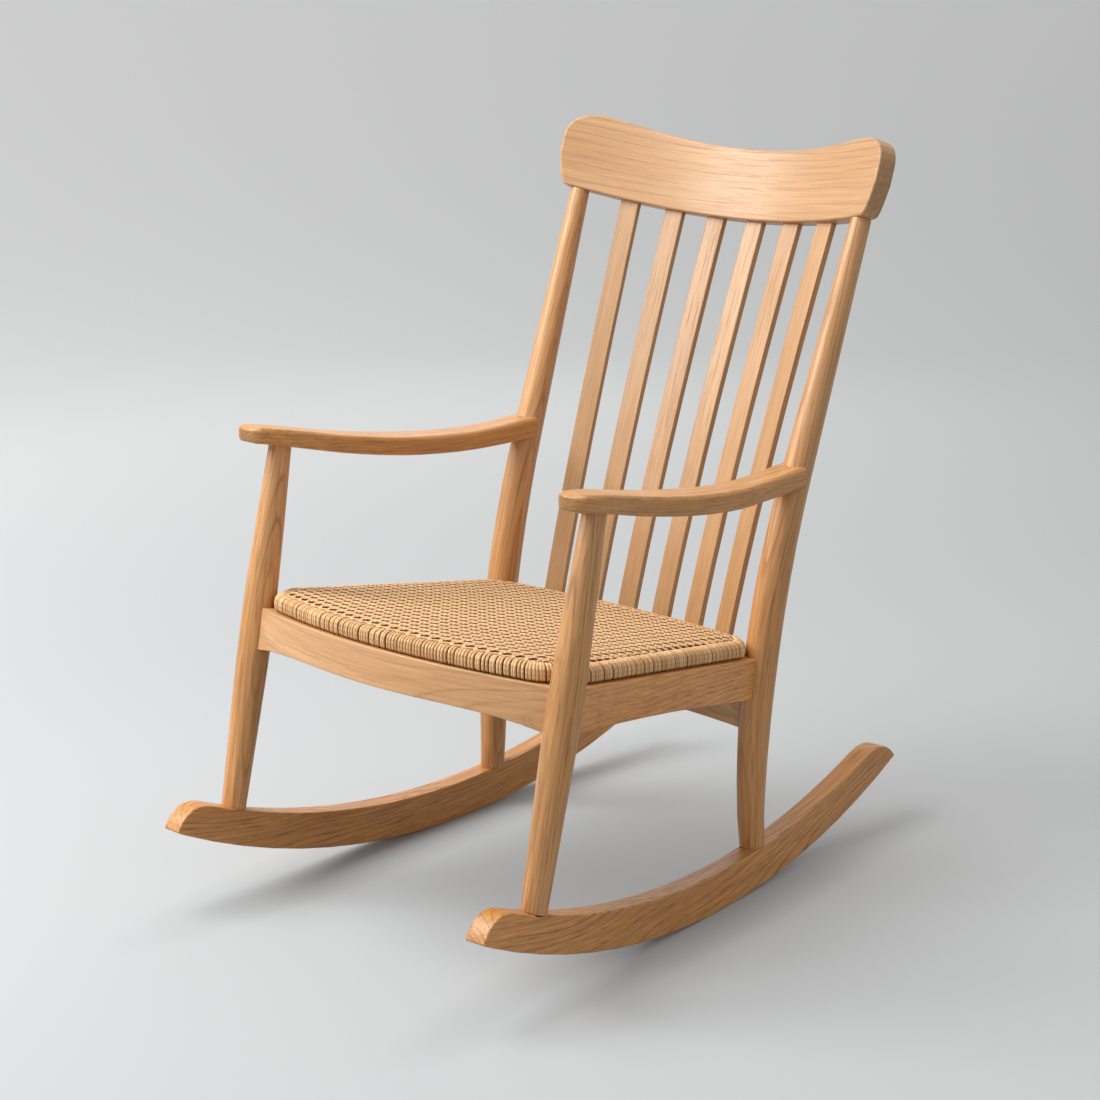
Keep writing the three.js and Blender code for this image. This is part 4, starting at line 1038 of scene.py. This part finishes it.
def cord_material(name, light, dark, flank_shade):
    """Twisted paper cord: slanting fibres, and each cord a little lighter or darker. Painted shade
    darkens it towards its neighbour, where it dips below the face of the seat, and round a hole."""
    material, g, shader = new_material(name)
    run, across, up = g.axes(g.attribute("twist")["Vector"])
    shade, below, flank = g.axes(g.attribute("tone_and_painted_light")["Vector"])
    hole = g.attribute("hole")["Fac"]
    turn = g.times(run, 2 * math.pi / TWIST_LENGTH)
    wave = g.times(g.math("SINE", turn), across)
    wave = g.math("ADD", wave, g.times(g.math("COSINE", turn), up))
    place = g.place()
    blotch = g.noise(g.scaled(place, BLOTCH_SCALE), detail=NOISE_DETAIL).outputs[0]
    grit = g.noise(g.scaled(place, GRIT_SCALE)).outputs[0]
    level = g.math("ADD", g.times(shade, SHADE_SHARE), g.times(blotch, BLOTCH_SHARE))
    colour = g.mix(g.span(level, *SHADE_SPAN), rgba(dark), rgba(light))
    colour = g.shaded(colour, g.span(wave, *TWIST_SPAN))
    colour = g.shaded(colour, g.span(grit, *GRIT_SPAN))
    # Painted shade on the flanks, where the cord meets its neighbour
    flank = g.span(flank, FLANK_START, 1.0, 0.0, 1.0 - flank_shade)
    colour = g.mix(flank, colour, rgba(PAINTED_SHADE_COLOUR))
    # Painted shade where the cord lies low
    colour = g.shaded(colour, g.span(below, DEPTH_START, DEPTH_END, 1.0, DEPTH_SHADE))
    # Painted shade round the middle of each hole
    hole = g.span(hole, HOLE_SHADE_START, HOLE_SHADE_END, 0.0, 1.0)
    height = g.math("ADD", g.times(wave, WAVE_HEIGHT), g.times(grit, GRIT_HEIGHT))
    g.put(shader, "Base Color", g.mix(hole, colour, rgba(PAINTED_SHADE_COLOUR)))
    g.put(shader, "Roughness", g.span(grit, *CORD_ROUGHNESS_SPAN))
    g.put(shader, "Normal", g.bump(CORD_BUMP, CORD_BUMP_DEPTH, height))
    return material


def lining_material():
    """Dark threads pressed together, near black as painted shade under the weave."""
    material, g, shader = new_material("shade_lining")
    threads = g.noise(g.scaled(g.place(), THREAD_SCALE), detail=NOISE_DETAIL).outputs[0]
    g.put(shader, "Base Color", g.mix(threads, rgba(SHADE_LINING_DARK), rgba(SHADE_LINING_LIGHT)))
    g.put(shader, "Roughness", g.span(threads, *LINING_ROUGHNESS_SPAN))
    g.put(shader, "Normal", g.bump(LINING_BUMP, LINING_BUMP_DEPTH, threads))
    return material


# Stage

def seen_rays(g):
    """One for the rays that show the background, none for those that light the chair."""
    path = g.add("ShaderNodeLightPath").outputs
    seen = g.math("MAXIMUM", path["Is Camera Ray"], path["Is Glossy Ray"])
    return g.math("MAXIMUM", seen, path["Is Transmission Ray"])


def floor_material():
    """Plain grey. Its glow shows where the background is seen, and doesn't light the chair; it is
    painted light, stronger far off on the picture's left, and left out under the rockers as a
    painted contact shadow.
    """
    material, g, shader = new_material("studio_floor")
    place = g.place()
    # Painted light: the far glow grows with distance and towards the picture's left
    reach = g.vector("LENGTH", place)
    sideways = g.vector("DOT_PRODUCT", place, VIEW_RIGHT)
    slant = g.math("DIVIDE", sideways, g.math("MAXIMUM", reach, FAR_PAINTED_LIGHT_START))
    far = g.span(
        reach, FAR_PAINTED_LIGHT_START, FAR_PAINTED_LIGHT_END, 0.0, FAR_PAINTED_LIGHT, interpolation_type="SMOOTHSTEP")
    far = g.times(far, g.math("SUBTRACT", 1.0, g.times(slant, PAINTED_LIGHT_SLANT)))
    x, y, _ = g.axes(place)
    # Painted contact shadow: the near glow fades out along the lines where the rockers meet the
    # floor
    beside = g.math("SUBTRACT", g.math("ABSOLUTE", x), CONTACT_SHADOW_X)
    contact = {0: beside, 1: g.times(y, CONTACT_SHADOW_STRETCH)}
    contact = g.vector("LENGTH", g.add("ShaderNodeCombineXYZ", contact).outputs[0])
    glow = g.math("ADD", far, g.span(contact, 0.0, CONTACT_SHADOW_REACH, 0.0, NEAR_GLOW))
    g.put(shader, "Emission Strength", g.times(glow, seen_rays(g)))
    g.put(shader, "Emission Color", rgba(GLOW_COLOUR))
    g.put(shader, "Base Color", rgba(FLOOR_COLOUR))
    g.put(shader, "Roughness", FLOOR_ROUGHNESS)
    g.put(shader, "Specular IOR Level", FLOOR_SHINE)
    return material


def build_floor():
    mesh = bpy.data.meshes.new("studio_floor")
    work = bmesh.new()
    bmesh.ops.create_circle(work, cap_ends=True, segments=FLOOR_SIDES, radius=FLOOR_RADIUS)
    work.to_mesh(mesh)
    work.free()
    mesh.materials.append(floor_material())
    new_object("studio_floor", mesh)


def aim(obj, place, target):
    obj.location = place
    obj.rotation_euler = (target - place).to_track_quat("-Z", "Y").to_euler()


def lamp(name, place, size, power):
    data = bpy.data.lights.new(name, "AREA")
    data.shape = "DISK"
    data.size = size
    data.energy = power
    data.color = LAMP_COLOUR
    aim(new_object(name, data), place, LAMP_AIM)


def build_light():
    world = bpy.data.worlds.new("studio")
    world.use_nodes = True
    nodes = world.node_tree.nodes
    g = Graph(world.node_tree)
    light = nodes["Background"]
    g.put(light, "Color", rgba(WORLD_COLOUR))
    g.put(light, "Strength", WORLD_STRENGTH)
    backdrop = g.add("ShaderNodeBackground", {"Color": rgba(BACKDROP_COLOUR)})
    both = {0: seen_rays(g), 1: light.outputs[0], 2: backdrop.outputs[0]}
    g.put(nodes["World Output"], "Surface", g.add("ShaderNodeMixShader", both).outputs[0])
    SCENE.world = world
    lamp("key", KEY_PLACE, KEY_SIZE, KEY_POWER)
    lamp("back", BACK_PLACE, BACK_SIZE, BACK_POWER)
    lamp("front", FRONT_PLACE, FRONT_SIZE, FRONT_POWER)
    SCENE.view_settings.view_transform = "Standard"


def build_camera():
    data = bpy.data.cameras.new("camera")
    data.lens = CAMERA_LENS
    data.sensor_width = CAMERA_SENSOR
    data.sensor_fit = "HORIZONTAL"
    camera = new_object("camera", data)
    aim(camera, CAMERA_EYE, CAMERA_AIM)
    SCENE.camera = camera


build_camera()
build_floor()
build_light()
side_members("left")
side_members("right")
cross_members()
back_slats()
hidden_wood()
screws()
seat_outline, seat_length = panel_outline()
weave_cord = cord_material("woven_cord", CORD_LIGHT, CORD_DARK, CORD_FLANK_SHADE)
border_cord = cord_material("border_cord", WRAP_LIGHT, WRAP_DARK, WRAP_FLANK_SHADE)
weave_seat(seat_outline, weave_cord)
wrap_border(seat_outline, seat_length, border_cord)
shade_lining(seat_outline, lining_material())
